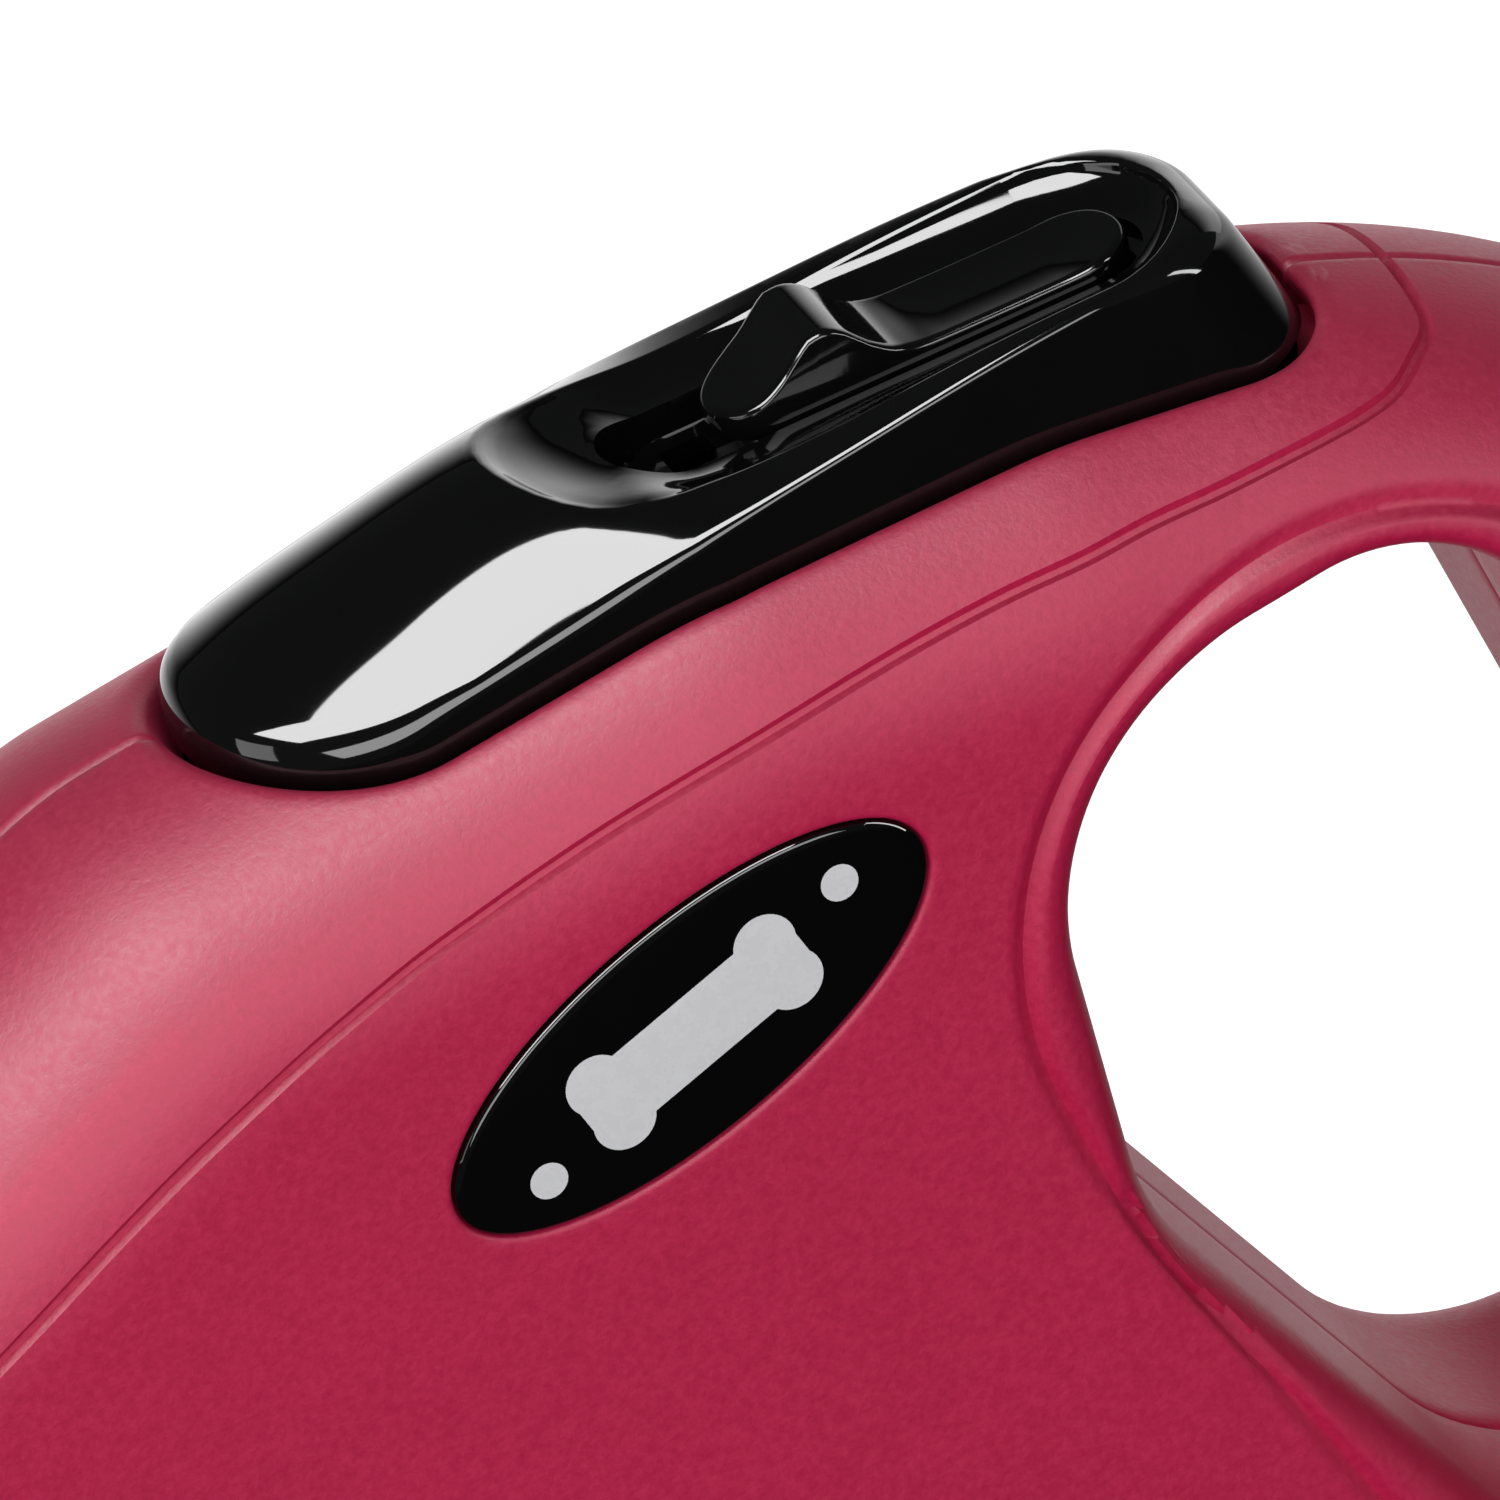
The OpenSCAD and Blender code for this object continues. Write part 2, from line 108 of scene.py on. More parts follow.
class Hull:
    """The outline round a set of circles (x, z, r), with the distance outside it."""

    def __init__(self, circles):
        self.c = np.array([c[:2] for c in circles], float)
        self.r = np.array([c[2] for c in circles], float)
        phi = np.linspace(-math.pi, math.pi, 7200, endpoint=False)
        best = (np.stack([np.cos(phi), np.sin(phi)], 1) @ self.c.T + self.r).argmax(1)
        cuts = []
        for k in range(len(phi)):
            i, j = best[k - 1], best[k]
            if i != j:
                d = self.c[i] - self.c[j]
                base = math.atan2(d[1], d[0])
                half = math.acos((self.r[j] - self.r[i]) / math.hypot(*d))
                turn = [(f - phi[k] + math.pi) % (2 * math.pi) - math.pi
                        for f in (base + half, base - half)]
                cuts.append((phi[k] + min(turn, key=abs), i, j))
        after = cuts[1:] + cuts[:1]
        self.arcs = [(i, f0, (f1 - f0) % (2 * math.pi))
                     for (f0, _, i), (f1, _, _) in zip(cuts, after)]
        self.edges = []
        for f, i, j in cuts:
            n = np.array([math.cos(f), math.sin(f)])
            self.edges.append((self.c[i] + self.r[i] * n, self.c[j] + self.r[j] * n, n))

    def dist(self, q):
        """Distance outside the outline, and the outward direction."""
        best = np.full(len(q), -1e9)
        out = np.zeros_like(q)
        for i, f0, w in self.arcs:
            v = q - self.c[i]
            length = np.hypot(v[:, 0], v[:, 1]) + 1e-12
            turn = (np.arctan2(v[:, 1], v[:, 0]) - f0) % (2 * math.pi)
            ok = (turn <= w + 1e-9) & (length - self.r[i] > best)
            best[ok] = (length - self.r[i])[ok]
            out[ok] = (v / length[:, None])[ok]
        for p0, p1, n in self.edges:
            e = p1 - p0
            t = (q - p0) @ e / (e @ e)
            d = (q - p0) @ n
            ok = (t >= 0) & (t <= 1) & (d > best)
            best[ok] = d[ok]
            out[ok] = n
        return best, out

    def contour(self, grow, step):
        """Points round the outline grown by a distance, anticlockwise."""
        pts = []
        for (i, f0, w), (p0, p1, n) in zip(self.arcs, self.edges[1:] + self.edges[:1]):
            r = self.r[i] + grow
            for t in np.linspace(0, 1, max(2, int(w * r / step) + 1), endpoint=False):
                f = f0 + w * t
                pts.append(self.c[i] + r * np.array([math.cos(f), math.sin(f)]))
            a, b = p0 + grow * n, p1 + grow * n
            for t in np.linspace(0, 1, max(2, int(np.hypot(*(b - a)) / step) + 1), endpoint=False):
                pts.append(a + (b - a) * t)
        return np.array(pts)


def quarter(a, b):
    """Tables of turn angle and arc length down a quarter ellipse, from its flat end."""
    t = np.linspace(0, math.pi / 2, 2000)
    step = np.hypot(a * np.cos(t), b * np.sin(t))
    length = np.concatenate([[0], np.cumsum((step[1:] + step[:-1]) / 2 * np.diff(t))])
    return t, length


def polyline_distance(q, line):
    """Distance of each point to an open polyline."""
    best = np.full(len(q), 1e9)
    for a, b in zip(line[:-1], line[1:]):
        e = b - a
        t = np.clip((q - a) @ e / max(e @ e, 1e-12), 0, 1)
        d = q - a - t[:, None] * e
        best = np.minimum(best, np.hypot(d[:, 0], d[:, 1]))
    return best


def hex_grid(lo, hi, step):
    rows = []
    dy = step * math.sqrt(3) / 2
    for k, y in enumerate(np.arange(lo[1], hi[1], dy)):
        x = np.arange(lo[0] + (step / 2 if k % 2 else 0), hi[0], step)
        rows.append(np.stack([x, np.full(len(x), y)], 1))
    return np.concatenate(rows)


def resample(line, step):
    seg = np.hypot(*np.diff(line, axis=0).T)
    s = np.concatenate([[0], np.cumsum(seg)])
    t = np.linspace(0, s[-1], max(2, int(round(s[-1] / step)) + 1))
    return np.stack([np.interp(t, s, line[:, 0]), np.interp(t, s, line[:, 1])], 1)


def side_step(line, d):
    """The polyline moved sideways by d."""
    t = np.gradient(line, axis=0)
    n = np.stack([-t[:, 1], t[:, 0]], 1) / np.hypot(t[:, 0], t[:, 1])[:, None]
    return line + d * n


def triangulate(points, lines):
    """Delaunay triangles of points and of constraint lines (point list, closed)."""
    coords = [Vector(p) for p in points]
    edges = []
    for line, closed in lines:
        first = len(coords)
        coords += [Vector(p) for p in line]
        n = len(line)
        edges += [(first + k, first + k + 1) for k in range(n - 1)]
        if closed:
            edges.append((first + n - 1, first))
    out = geometry.delaunay_2d_cdt(coords, edges, [], 0, 1e-4, False)
    return np.array([tuple(v) for v in out[0]]), np.array(out[2], int)


def build(name, verts, faces, body, mats, smooth_angle=40, face_mats=None):
    """A mesh piece from points in millimetres, riding on a CAD body."""
    me = bpy.data.meshes.new(name)
    me.from_pydata((np.asarray(verts, float) * MM).tolist(), [], [list(map(int, f)) for f in faces])
    me.validate()
    me.polygons.foreach_set("use_smooth", [True] * len(me.polygons))
    if smooth_angle:
        me.set_sharp_from_angle(angle=math.radians(smooth_angle))
    for m in mats:
        me.materials.append(m)
    if face_mats is not None:
        me.polygons.foreach_set("material_index", list(face_mats))
    me.update()
    obj = bpy.data.objects.new(name, me)
    bpy.context.scene.collection.objects.link(obj)
    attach(obj, body)
    return obj


def border(faces):
    """Directed edges of triangles that have no neighbour."""
    e = np.concatenate([faces[:, [0, 1]], faces[:, [1, 2]], faces[:, [2, 0]]])
    key = {}
    for a, b in e.tolist():
        key[(a, b)] = True
    return [(a, b) for (a, b) in key if (b, a) not in key]


# ---- materials ----

def new_material(name):
    m = bpy.data.materials.new(name)
    m.use_nodes = True
    t = m.node_tree
    return m, t.nodes, t.links, t.nodes["Principled BSDF"]


def noise(nodes, links, scale, detail=4.0, rough=0.6):
    co = nodes.new("ShaderNodeTexCoord")
    n = nodes.new("ShaderNodeTexNoise")
    n.inputs["Scale"].default_value = scale
    n.inputs["Detail"].default_value = detail
    n.inputs["Roughness"].default_value = rough
    links.new(co.outputs["Object"], n.inputs["Vector"])
    return n.outputs["Fac"]


def ramp(nodes, links, value, stops):
    r = nodes.new("ShaderNodeValToRGB")
    while len(r.color_ramp.elements) < len(stops):
        r.color_ramp.elements.new(0.5)
    for e, (pos, col) in zip(r.color_ramp.elements, stops):
        e.position = pos
        e.color = (*col, 1) if len(col) == 3 else col
    links.new(value, r.inputs["Fac"])
    return r.outputs["Color"]


def grey(v):
    return (v, v, v)


def add_bump(nodes, links, bsdf, heights, strength, distance):
    """One bump from several height values stacked on each other."""
    last = None
    for h, s in heights:
        b = nodes.new("ShaderNodeBump")
        b.inputs["Strength"].default_value = strength * s
        b.inputs["Distance"].default_value = distance
        links.new(h, b.inputs["Height"])
        if last:
            links.new(last, b.inputs["Normal"])
        last = b.outputs["Normal"]
    links.new(last, bsdf.inputs["Normal"])


def plastic(name, stops, rough, grain_scale, bump, coat=0.0, coat_rough=0.2, sheen=0.0,
            spec=0.5):
    """Moulded plastic: a colour that varies slightly, a grain, and a roughness that follows it."""
    m, nodes, links, bsdf = new_material(name)
    cloud = noise(nodes, links, 90, 3)
    grain = noise(nodes, links, grain_scale, 3, 0.7)
    mix = nodes.new("ShaderNodeMath")
    mix.operation = "MULTIPLY_ADD"
    links.new(grain, mix.inputs[0])
    mix.inputs[1].default_value = 0.75
    half = nodes.new("ShaderNodeMath")
    half.operation = "MULTIPLY"
    links.new(cloud, half.inputs[0])
    half.inputs[1].default_value = 0.25
    links.new(half.outputs[0], mix.inputs[2])
    links.new(ramp(nodes, links, mix.outputs[0], stops), bsdf.inputs["Base Color"])
    links.new(ramp(nodes, links, grain, [(0.3, grey(rough[0])), (0.7, grey(rough[1]))]),
              bsdf.inputs["Roughness"])
    if bump:
        add_bump(nodes, links, bsdf, [(grain, 1.0)], bump, 0.0001)
    bsdf.inputs["Coat Weight"].default_value = coat
    bsdf.inputs["Coat Roughness"].default_value = coat_rough
    bsdf.inputs["Sheen Weight"].default_value = sheen
    bsdf.inputs["Specular IOR Level"].default_value = spec
    return m


def metal(name, col, rough, scale, bump=0.15):
    m, nodes, links, bsdf = new_material(name)
    n = noise(nodes, links, scale, 5)
    links.new(ramp(nodes, links, n, [(0.3, tuple(c * 0.85 for c in col)), (0.7, col)]),
              bsdf.inputs["Base Color"])
    links.new(ramp(nodes, links, n, [(0.3, grey(rough * 0.8)), (0.7, grey(rough * 1.3))]),
              bsdf.inputs["Roughness"])
    bsdf.inputs["Metallic"].default_value = 1.0
    add_bump(nodes, links, bsdf, [(n, 1.0)], bump, 0.00005)
    return m


def webbing(name):
    """Woven tape: diagonal herringbone from two crossed waves."""
    m, nodes, links, bsdf = new_material(name)
    co = nodes.new("ShaderNodeTexCoord")
    heights = []
    for turn in (0.8, -0.8):
        mp = nodes.new("ShaderNodeMapping")
        mp.inputs["Rotation"].default_value = (0, 0, turn)
        links.new(co.outputs["Object"], mp.inputs["Vector"])
        w = nodes.new("ShaderNodeTexWave")
        w.inputs["Scale"].default_value = 700
        w.inputs["Distortion"].default_value = 0.4
        links.new(mp.outputs[0], w.inputs["Vector"])
        heights.append((w.outputs["Fac"], 1.0))
    links.new(ramp(nodes, links, heights[0][0], [(0.1, grey(0.008)), (0.9, grey(0.035))]),
              bsdf.inputs["Base Color"])
    bsdf.inputs["Roughness"].default_value = 0.8
    bsdf.inputs["Sheen Weight"].default_value = 0.3
    add_bump(nodes, links, bsdf, heights, 0.5, 0.0002)
    return m


RED = plastic("housing_red", [(0.22, (0.34, 0.0045, 0.042)), (0.5, (0.40, 0.0065, 0.052)),
                              (0.78, (0.47, 0.011, 0.067))],
              (0.42, 0.54), 2200, 0.3, coat=0.0, spec=0.3, sheen=0.0)
BLACK = plastic("button_gloss", [(0.3, grey(0.0022)), (0.7, grey(0.0034))], (0.045, 0.06), 60, 0.0)
SLIDER = plastic("slider_gloss", [(0.3, grey(0.002)), (0.7, grey(0.003))], (0.06, 0.09), 60, 0.0)
RESIN = plastic("badge_resin", [(0.3, grey(0.0015)), (0.7, grey(0.0022))], (0.03, 0.04), 50, 0.0)
PRINT = plastic("badge_print", [(0.3, (0.56, 0.56, 0.58)), (0.7, (0.60, 0.60, 0.62))],
                (0.25, 0.3), 900, 0.02)
GUIDE = plastic("guide_black", [(0.3, grey(0.006)), (0.7, grey(0.012))], (0.22, 0.34), 1500, 0.12)
STOP = plastic("stop_rubber", [(0.3, grey(0.012)), (0.7, grey(0.022))], (0.5, 0.65), 1800, 0.2)
INNER = plastic("inner_black", [(0.3, grey(0.012)), (0.7, grey(0.02))], (0.4, 0.5), 1200, 0.1)
ACETAL = plastic("acetal", [(0.3, (0.70, 0.70, 0.67)), (0.7, (0.78, 0.78, 0.75))], (0.3, 0.4), 900, 0.06)
PIN = metal("ground_steel", (0.58, 0.58, 0.6), 0.22, 900)
SPRING = metal("spring_steel", (0.40, 0.41, 0.43), 0.3, 1500)
ZINC = metal("zinc_steel", (0.62, 0.62, 0.6), 0.35, 1200)
TAPE = webbing("tape_webbing")

# ---- half shells ----

OUT = Hull(OUTLINE)
CORE = Hull([(x, z, r - EDGE) for x, z, r in OUTLINE])
BAND_T, BAND_L = quarter(EDGE, HALF_T)
RIM_T, RIM_L = quarter(RIM_IN, RIM_DEEP)
HOLE_RIM = Hull([(x, z, r + RIM_IN) for x, z, r in HOLE])
OPENING = Hull([(x, y, r + BUTTON_GAP) for x, y, r in PLAN])
LIP_R = 1.3            # fillet round the button opening
LIP_WALL = 4.2         # depth of the wall inside the opening
BADGE_SLACK = 0.15
BADGE_FILLET = 0.4
GROOVE_W, GROOVE_DEEP = 0.46, 0.42
RING_W, RING_DEEP = 0.85, 0.55
SEAM_W, SEAM_DEEP = 0.30, 0.22
RUN_FALL = math.radians(7)
MOUTH = (-146.0, -3.0, 43.07)


def surface(q):
    """Points and normals of the near half's outer skin, for points of its unrolled plan."""
    h, away = HOLE_RIM.dist(q)
    t = np.where(h < 0, np.interp(-h, RIM_L, RIM_T), 0)
    inner = h < 0
    flat = np.where(inner[:, None], q - away * (h + RIM_IN * np.sin(t))[:, None], q)
    g, n = CORE.dist(flat)
    g = np.maximum(g, 0)
    u = np.interp(g, BAND_L, BAND_T)
    xz = flat + n * (EDGE * np.sin(u) - g)[:, None]
    y = -HALF_T * np.cos(u) + RIM_DEEP * (1 - np.cos(t))
    pos = np.stack([xz[:, 0], y, xz[:, 1]], 1)
    band = np.stack([n[:, 0] * np.sin(u) / EDGE, -np.cos(u) / HALF_T, n[:, 1] * np.sin(u) / EDGE], 1)
    rim = np.stack([-away[:, 0] * np.sin(t) / RIM_IN, -np.cos(t) / RIM_DEEP,
                    -away[:, 1] * np.sin(t) / RIM_IN], 1)
    nor = np.where(inner[:, None], rim, band)
    return pos, nor / np.linalg.norm(nor, axis=1)[:, None]


def unroll(p):
    """Plan points for places (x, z) on the near half's skin."""
    d, n = OUT.dist(p)
    reach = np.clip(EDGE + d, 0, EDGE)
    u = np.arcsin(reach / EDGE)
    return p + n * (np.interp(u, BAND_T, BAND_L) - reach)[:, None]


def edge_points(x, inset, top=True):
    """Places at stations x that lie a distance inside the outline, at its top or its bottom."""
    far = np.full(len(x), 80.0 if top else -80.0)
    near = np.full(len(x), 15.0 if top else -5.0)
    for _ in range(40):
        mid = (far + near) / 2
        out = OUT.dist(np.stack([x, mid], 1))[0] > -inset
        far = np.where(out, mid, far)
        near = np.where(out, near, mid)
    return np.stack([x, (far + near) / 2], 1)


def opening_line(grow, step):
    """The button opening's outline, grown, as plan points from its front tip to its rear end."""
    c = OPENING.contour(grow, step)
    c = c[c[:, 1] < -1e-6]
    c = c[np.argsort(c[:, 0])]
    lo = -58.4 - 10.2 - BUTTON_GAP - grow
    hi = -15.2 + 5.5 + BUTTON_GAP + grow
    c = np.concatenate([[[lo, 0]], c, [[hi, 0]]])
    reach = EDGE * np.sqrt(1 - (c[:, 1] / HALF_T) ** 2)
    return unroll(edge_points(c[:, 0], EDGE - reach))


def badge_local(p):
    d = p - np.array(BADGE_C)
    ca, sa = math.cos(BADGE_TILT), math.sin(BADGE_TILT)
    return np.stack([d[:, 0] * ca + d[:, 1] * sa, -d[:, 0] * sa + d[:, 1] * ca], 1)


def badge_place(v):
    ca, sa = math.cos(BADGE_TILT), math.sin(BADGE_TILT)
    return np.stack([BADGE_C[0] + v[:, 0] * ca - v[:, 1] * sa,
                     BADGE_C[1] + v[:, 0] * sa + v[:, 1] * ca], 1)


def ellipse(grow, count):
    t = np.linspace(0, 2 * math.pi, count, endpoint=False)
    p = np.stack([BADGE_A * np.cos(t), BADGE_B * np.sin(t)], 1)
    n = np.stack([np.cos(t) / BADGE_A, np.sin(t) / BADGE_B], 1)
    return p + grow * n / np.linalg.norm(n, axis=1)[:, None]


def badge_distance(p):
    v = badge_local(p)
    k = np.hypot(v[:, 0] / BADGE_A, v[:, 1] / BADGE_B) + 1e-9
    grad = np.hypot(v[:, 0] / BADGE_A ** 2, v[:, 1] / BADGE_B ** 2) / k
    return (k - 1) / grad


def side_line():
    """The moulded line of the side: along the top, round the nose and the bottom, both ends at the seam."""
    x = np.concatenate([np.linspace(-100, -12, 130), np.linspace(-11.8, -4.6, 40)])
    top = edge_points(x, spline(SIDE_LINE, x))
    rear = smooth((x + 27) / 8)
    top[:, 1] = spline(SIDE_TOP, x) * (1 - rear) + top[:, 1] * rear
    loop = OUT.contour(-11.6, 0.8)
    start = np.argmin(np.hypot(*(loop - top[0]).T))
    loop = np.roll(loop, -start, axis=0)[2:]
    stop = np.argmax((loop[:, 1] < -20) & (loop[:, 0] > -24))
    xb = np.linspace(-23, -2, 60)
    bottom = edge_points(xb, spline([(-24, 11.6), (-16, 9.8), (-8, 6), (-4, 2.4), (-2, 0)], xb), False)
    line = np.concatenate([top[::-1], loop[:stop], bottom])
    return resample(unroll(line), 0.6)


def fillet_drop(d, r):
    """How far a rounded edge of radius r lies below the face, at distance d from the edge."""
    x = np.clip(r - d, 0, r)
    return r - np.sqrt(np.maximum(r * r - x * x, 0))


def make_shell(side):
    name = "left" if side < 0 else "right"
    full = BAND_L[-1]
    line = side_line()
    ring = Hull(RING_GROOVE)
    lips = [0, 0.05, 0.16, 0.33, 0.56, 0.85, LIP_R, LIP_R + 0.5]
    lip_lines = [opening_line(g, 0.42) for g in lips]
    # closed border: the opening, then clockwise along the seam
    seam = CORE.contour(full, 0.7)[::-1]
    where = surface(seam)[0]
    tip, end = -58.4 - 10.2 - BUTTON_GAP, -15.2 + 5.5 + BUTTON_GAP
    spare = lips[-1] + 0.4
    bite = (where[:, 2] > 25) & (where[:, 0] > tip - spare) & (where[:, 0] < end + spare)
    start = np.argmax(bite & ~np.roll(bite, -1)) + 1
    seam = np.roll(seam, -start, axis=0)[:int((~bite).sum())]
    border_line = np.concatenate([lip_lines[0], [c[-1] for c in lip_lines[1:]], seam,
                                  [c[0] for c in lip_lines[:0:-1]]])
    lines = [(border_line, True)]
    lines += [(c, False) for c in lip_lines[1:]]
    lines += [(CORE.contour(full - d, 0.8), True) for d in (SEAM_W, SEAM_W + 0.4)]
    lines += [(side_step(line, d), False) for d in
              (-0.75, -GROOVE_W, -0.32, -0.16, 0, 0.16, 0.32, GROOVE_W, 0.75)]
    ring_edge = [unroll(ring.contour(d, 0.6)) for d in
                 (-1.25, -RING_W, -0.55, -0.25, 0, 0.25, 0.55, RING_W, 1.25)]
    lines += [(c, True) for c in ring_edge]
    lines += [(HOLE_RIM.contour(-d, 0.7), True) for d in
              np.linspace(0, RIM_L[-1], 9)]
    badge_rings = [BADGE_SLACK + d for d in (0, 0.05, 0.14, 0.26, BADGE_FILLET, 0.75)]
    lines += [(badge_place(ellipse(g, 150)), True) for g in badge_rings]
    screws = SCREWS if side > 0 else []
    circle = np.linspace(0, 2 * math.pi, 28, endpoint=False)
    for c in screws:
        for r in (SCREW_BORE, SCREW_BORE + 0.3):
            lines.append((unroll(np.array(c) + r * np.stack([np.cos(circle), np.sin(circle)], 1)), True))

    grid = hex_grid((-190, -80), (45, 95), 0.95)
    g, _ = CORE.dist(grid)
    coarse = hex_grid((-190, -80), (45, 95), 2.1)
    gc, _ = CORE.dist(coarse)
    pts = np.concatenate([grid[(g > -0.5) & (g < full - 1.1)], coarse[gc <= -0.5]])
    keep = polyline_distance(pts, line) > 1.2
    r_dist = ring.dist(surface(pts)[0][:, [0, 2]])[0]
    keep &= np.abs(r_dist) > 1.7
    h = HOLE_RIM.dist(pts)[0]
    keep &= h > 0.5
    keep &= (badge_distance(pts) > 1.3)
    pos = surface(pts)[0]
    plan = OPENING.dist(pos[:, :2])[0]
    keep &= ~((pos[:, 2] > 34) & (plan < LIP_R + 0.9) & (pos[:, 0] > -72) & (pos[:, 0] < -7))
    for c in screws:
        keep &= np.hypot(pos[:, 0] - c[0], pos[:, 2] - c[1]) > SCREW_BORE + 0.8
    q, tri = triangulate(pts[keep], lines)

    mid = q[tri].mean(1)
    mpos = surface(mid)[0]
    inside = CORE.dist(mid)[0] < full - 1e-3
    inside &= HOLE_RIM.dist(mid)[0] > -RIM_L[-1]
    inside &= badge_distance(mid) > BADGE_SLACK
    inside &= ~((mpos[:, 2] > 34) & (OPENING.dist(mpos[:, :2])[0] < 0))
    for c in screws:
        inside &= np.hypot(mpos[:, 0] - c[0], mpos[:, 2] - c[1]) > SCREW_BORE * 0.99
    out_x = (mpos[:, 0] - MOUTH[0]) * math.cos(RUN_FALL) + (mpos[:, 2] - MOUTH[2]) * math.sin(RUN_FALL)
    out_z = -(mpos[:, 0] - MOUTH[0]) * math.sin(RUN_FALL) + (mpos[:, 2] - MOUTH[2]) * math.cos(RUN_FALL)
    off = mpos[:, 1] - side * -MOUTH[1]
    inside &= ~((out_x < 14) & (np.abs(out_z) < 4.4) & (np.abs(off) < 9.2))
    a, b, c = (q[tri[:, k]] for k in range(3))
    area = (b[:, 0] - a[:, 0]) * (c[:, 1] - a[:, 1]) - (b[:, 1] - a[:, 1]) * (c[:, 0] - a[:, 0])
    inside &= np.abs(area) > 1e-7
    tri = tri[inside]
    area = area[inside]
    # the plan seen from -Y has +X right and +Z up, so anticlockwise faces point to -Y
    tri[area < 0] = tri[area < 0][:, ::-1]
    used = np.unique(tri)
    index = np.full(len(q), -1)
    index[used] = np.arange(len(used))
    q, tri = q[used], index[tri]

    base, nor = surface(q)
    out = base.copy()
    d_line = polyline_distance(q, line)
    out -= nor * (GROOVE_DEEP * (1 - smooth((d_line - 0.14) / (GROOVE_W - 0.14))))[:, None]
    d_ring = np.abs(ring.dist(base[:, [0, 2]])[0])
    near_ring = (HOLE_RIM.dist(q)[0] > -1.5)
    out -= nor * (RING_DEEP * (1 - smooth(d_ring / RING_W)) * near_ring)[:, None]
    from_seam = full - CORE.dist(q)[0]
    out -= nor * (SEAM_DEEP * np.clip(1 - from_seam / SEAM_W, 0, 1))[:, None]
    plan = OPENING.dist(base[:, :2])[0]
    at_lip = (base[:, 2] > 34) & (plan < LIP_R) & (base[:, 0] > -73) & (base[:, 0] < -6)
    out[:, 2] -= np.where(at_lip, fillet_drop(np.clip(plan, 0, None), LIP_R), 0)
    d_badge = badge_distance(q) - BADGE_SLACK
    at_badge = (d_badge < BADGE_FILLET) & (d_badge > -0.05)
    out[:, 1] += np.where(at_badge, fillet_drop(np.clip(d_badge, 0, None), BADGE_FILLET), 0)
    back = base - WALL * nor
    on_lip = at_lip & (np.abs(plan) < 2e-3)
    back[on_lip] = base[on_lip] - np.array([0, 0, LIP_WALL])
    for cx, cz in screws:
        at = np.abs(np.hypot(base[:, 0] - cx, base[:, 2] - cz) - SCREW_BORE) < 5e-3
        back[at] = np.stack([base[at, 0], np.full(at.sum(), -10.0), base[at, 2]], 1)

    out, back, faces = list(out), list(back), tri.tolist()
    rim_end = set(np.flatnonzero(np.abs(HOLE_RIM.dist(q)[0] + RIM_L[-1]) < 2e-3).tolist())
    away = HOLE_RIM.dist(q)[1]
    badge_end = set(np.flatnonzero(np.abs(d_badge) < 2e-3).tolist())
    loops = border(tri)
    # wall of the hand hole, down to the parting plane
    loop = [(i, j) for i, j in loops if i in rim_end and j in rim_end]
    ids = {}
    for i in sorted({k for e in loop for k in e}):
        col = [i]
        for y, push in ((-8.5, 0), (-5, 0), (-2, 0), (-SEAM_W, 0), (0, SEAM_DEEP)):
            n3 = np.array([away[i][0], 0, away[i][1]])
            p = np.array([out[i][0], y, out[i][2]])
            col.append(len(out))
            out.append(p + push * n3)
            back.append(p + WALL * n3)
        ids[i] = col
    for i, j in loop:
        for a, b, a2, b2 in zip(ids[i], ids[j], ids[i][1:], ids[j][1:]):
            faces.append([b, a, a2, b2])
    # recess of the badge
    loop = [(i, j) for i, j in loops if i in badge_end and j in badge_end]
    floor = {}
    for i in sorted({k for e in loop for k in e}):
        v = badge_place(badge_local(q[i:i + 1]) * 0.985)[0]
        floor[i] = len(out)
        out.append(np.array([v[0], -HALF_T + BADGE_DEEP, v[1]]))
        back.append(np.array([v[0], -HALF_T + WALL, v[1]]))
    centre = len(out)
    out.append(np.array([BADGE_C[0], -HALF_T + BADGE_DEEP, BADGE_C[1]]))
    back.append(np.array([BADGE_C[0], -HALF_T + WALL, BADGE_C[1]]))
    for i, j in loop:
        faces.append([j, i, floor[i], floor[j]])
        faces.append([floor[j], floor[i], centre])
    # inner skin and the edges that join it to the outer one
    n = len(out)
    key = {}
    for f in faces:
        for a, b in zip(f, f[1:] + f[:1]):
            key[(a, b)] = True
    rim = [(a, b) for a, b in key if (b, a) not in key]
    faces += [[v + n for v in f[::-1]] for f in faces] + [[b, a, a + n, b + n] for a, b in rim]
    verts = np.array(out + back)
    if side > 0:
        verts[:, 1] *= -1
        faces = [f[::-1] for f in faces]
    obj = build("shell_" + name, verts, faces, "housing", [RED], 42)
    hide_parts(name + "_shell")
    return obj


shells = [make_shell(-1), make_shell(1)]


# ---- badges ----

def oval(c, a, b, tilt, count=40):
    t = np.linspace(0, 2 * math.pi, count, endpoint=False)
    p = np.stack([a * np.cos(t), b * np.sin(t)], 1)
    ct, st = math.cos(tilt), math.sin(tilt)
    return np.array(c) + np.stack([p[:, 0] * ct - p[:, 1] * st, p[:, 0] * st + p[:, 1] * ct], 1)


def bone(length, knob, spread, count=20):
    """A plain bone: a bar with two round knobs at each end, as one outline."""
    pts = []
    s0 = math.asin(min(1, spread / (2 * knob)))
    for cx, cy, f0, f1 in ((length, spread, -s0, math.pi - 0.5), (-length, spread, 0.5, math.pi + s0),
                           (-length, -spread, math.pi - s0, 2 * math.pi - 0.5),
                           (length, -spread, math.pi + 0.5, 2 * math.pi + s0)):
        t = np.linspace(f0, f1, count)
        pts.append(np.stack([cx + knob * np.cos(t), cy + knob * np.sin(t)], 1))
    return np.concatenate(pts)


DOME = 0.5             # how far the resin stands above its edge
BADGE_EDGE_Y = 16.92


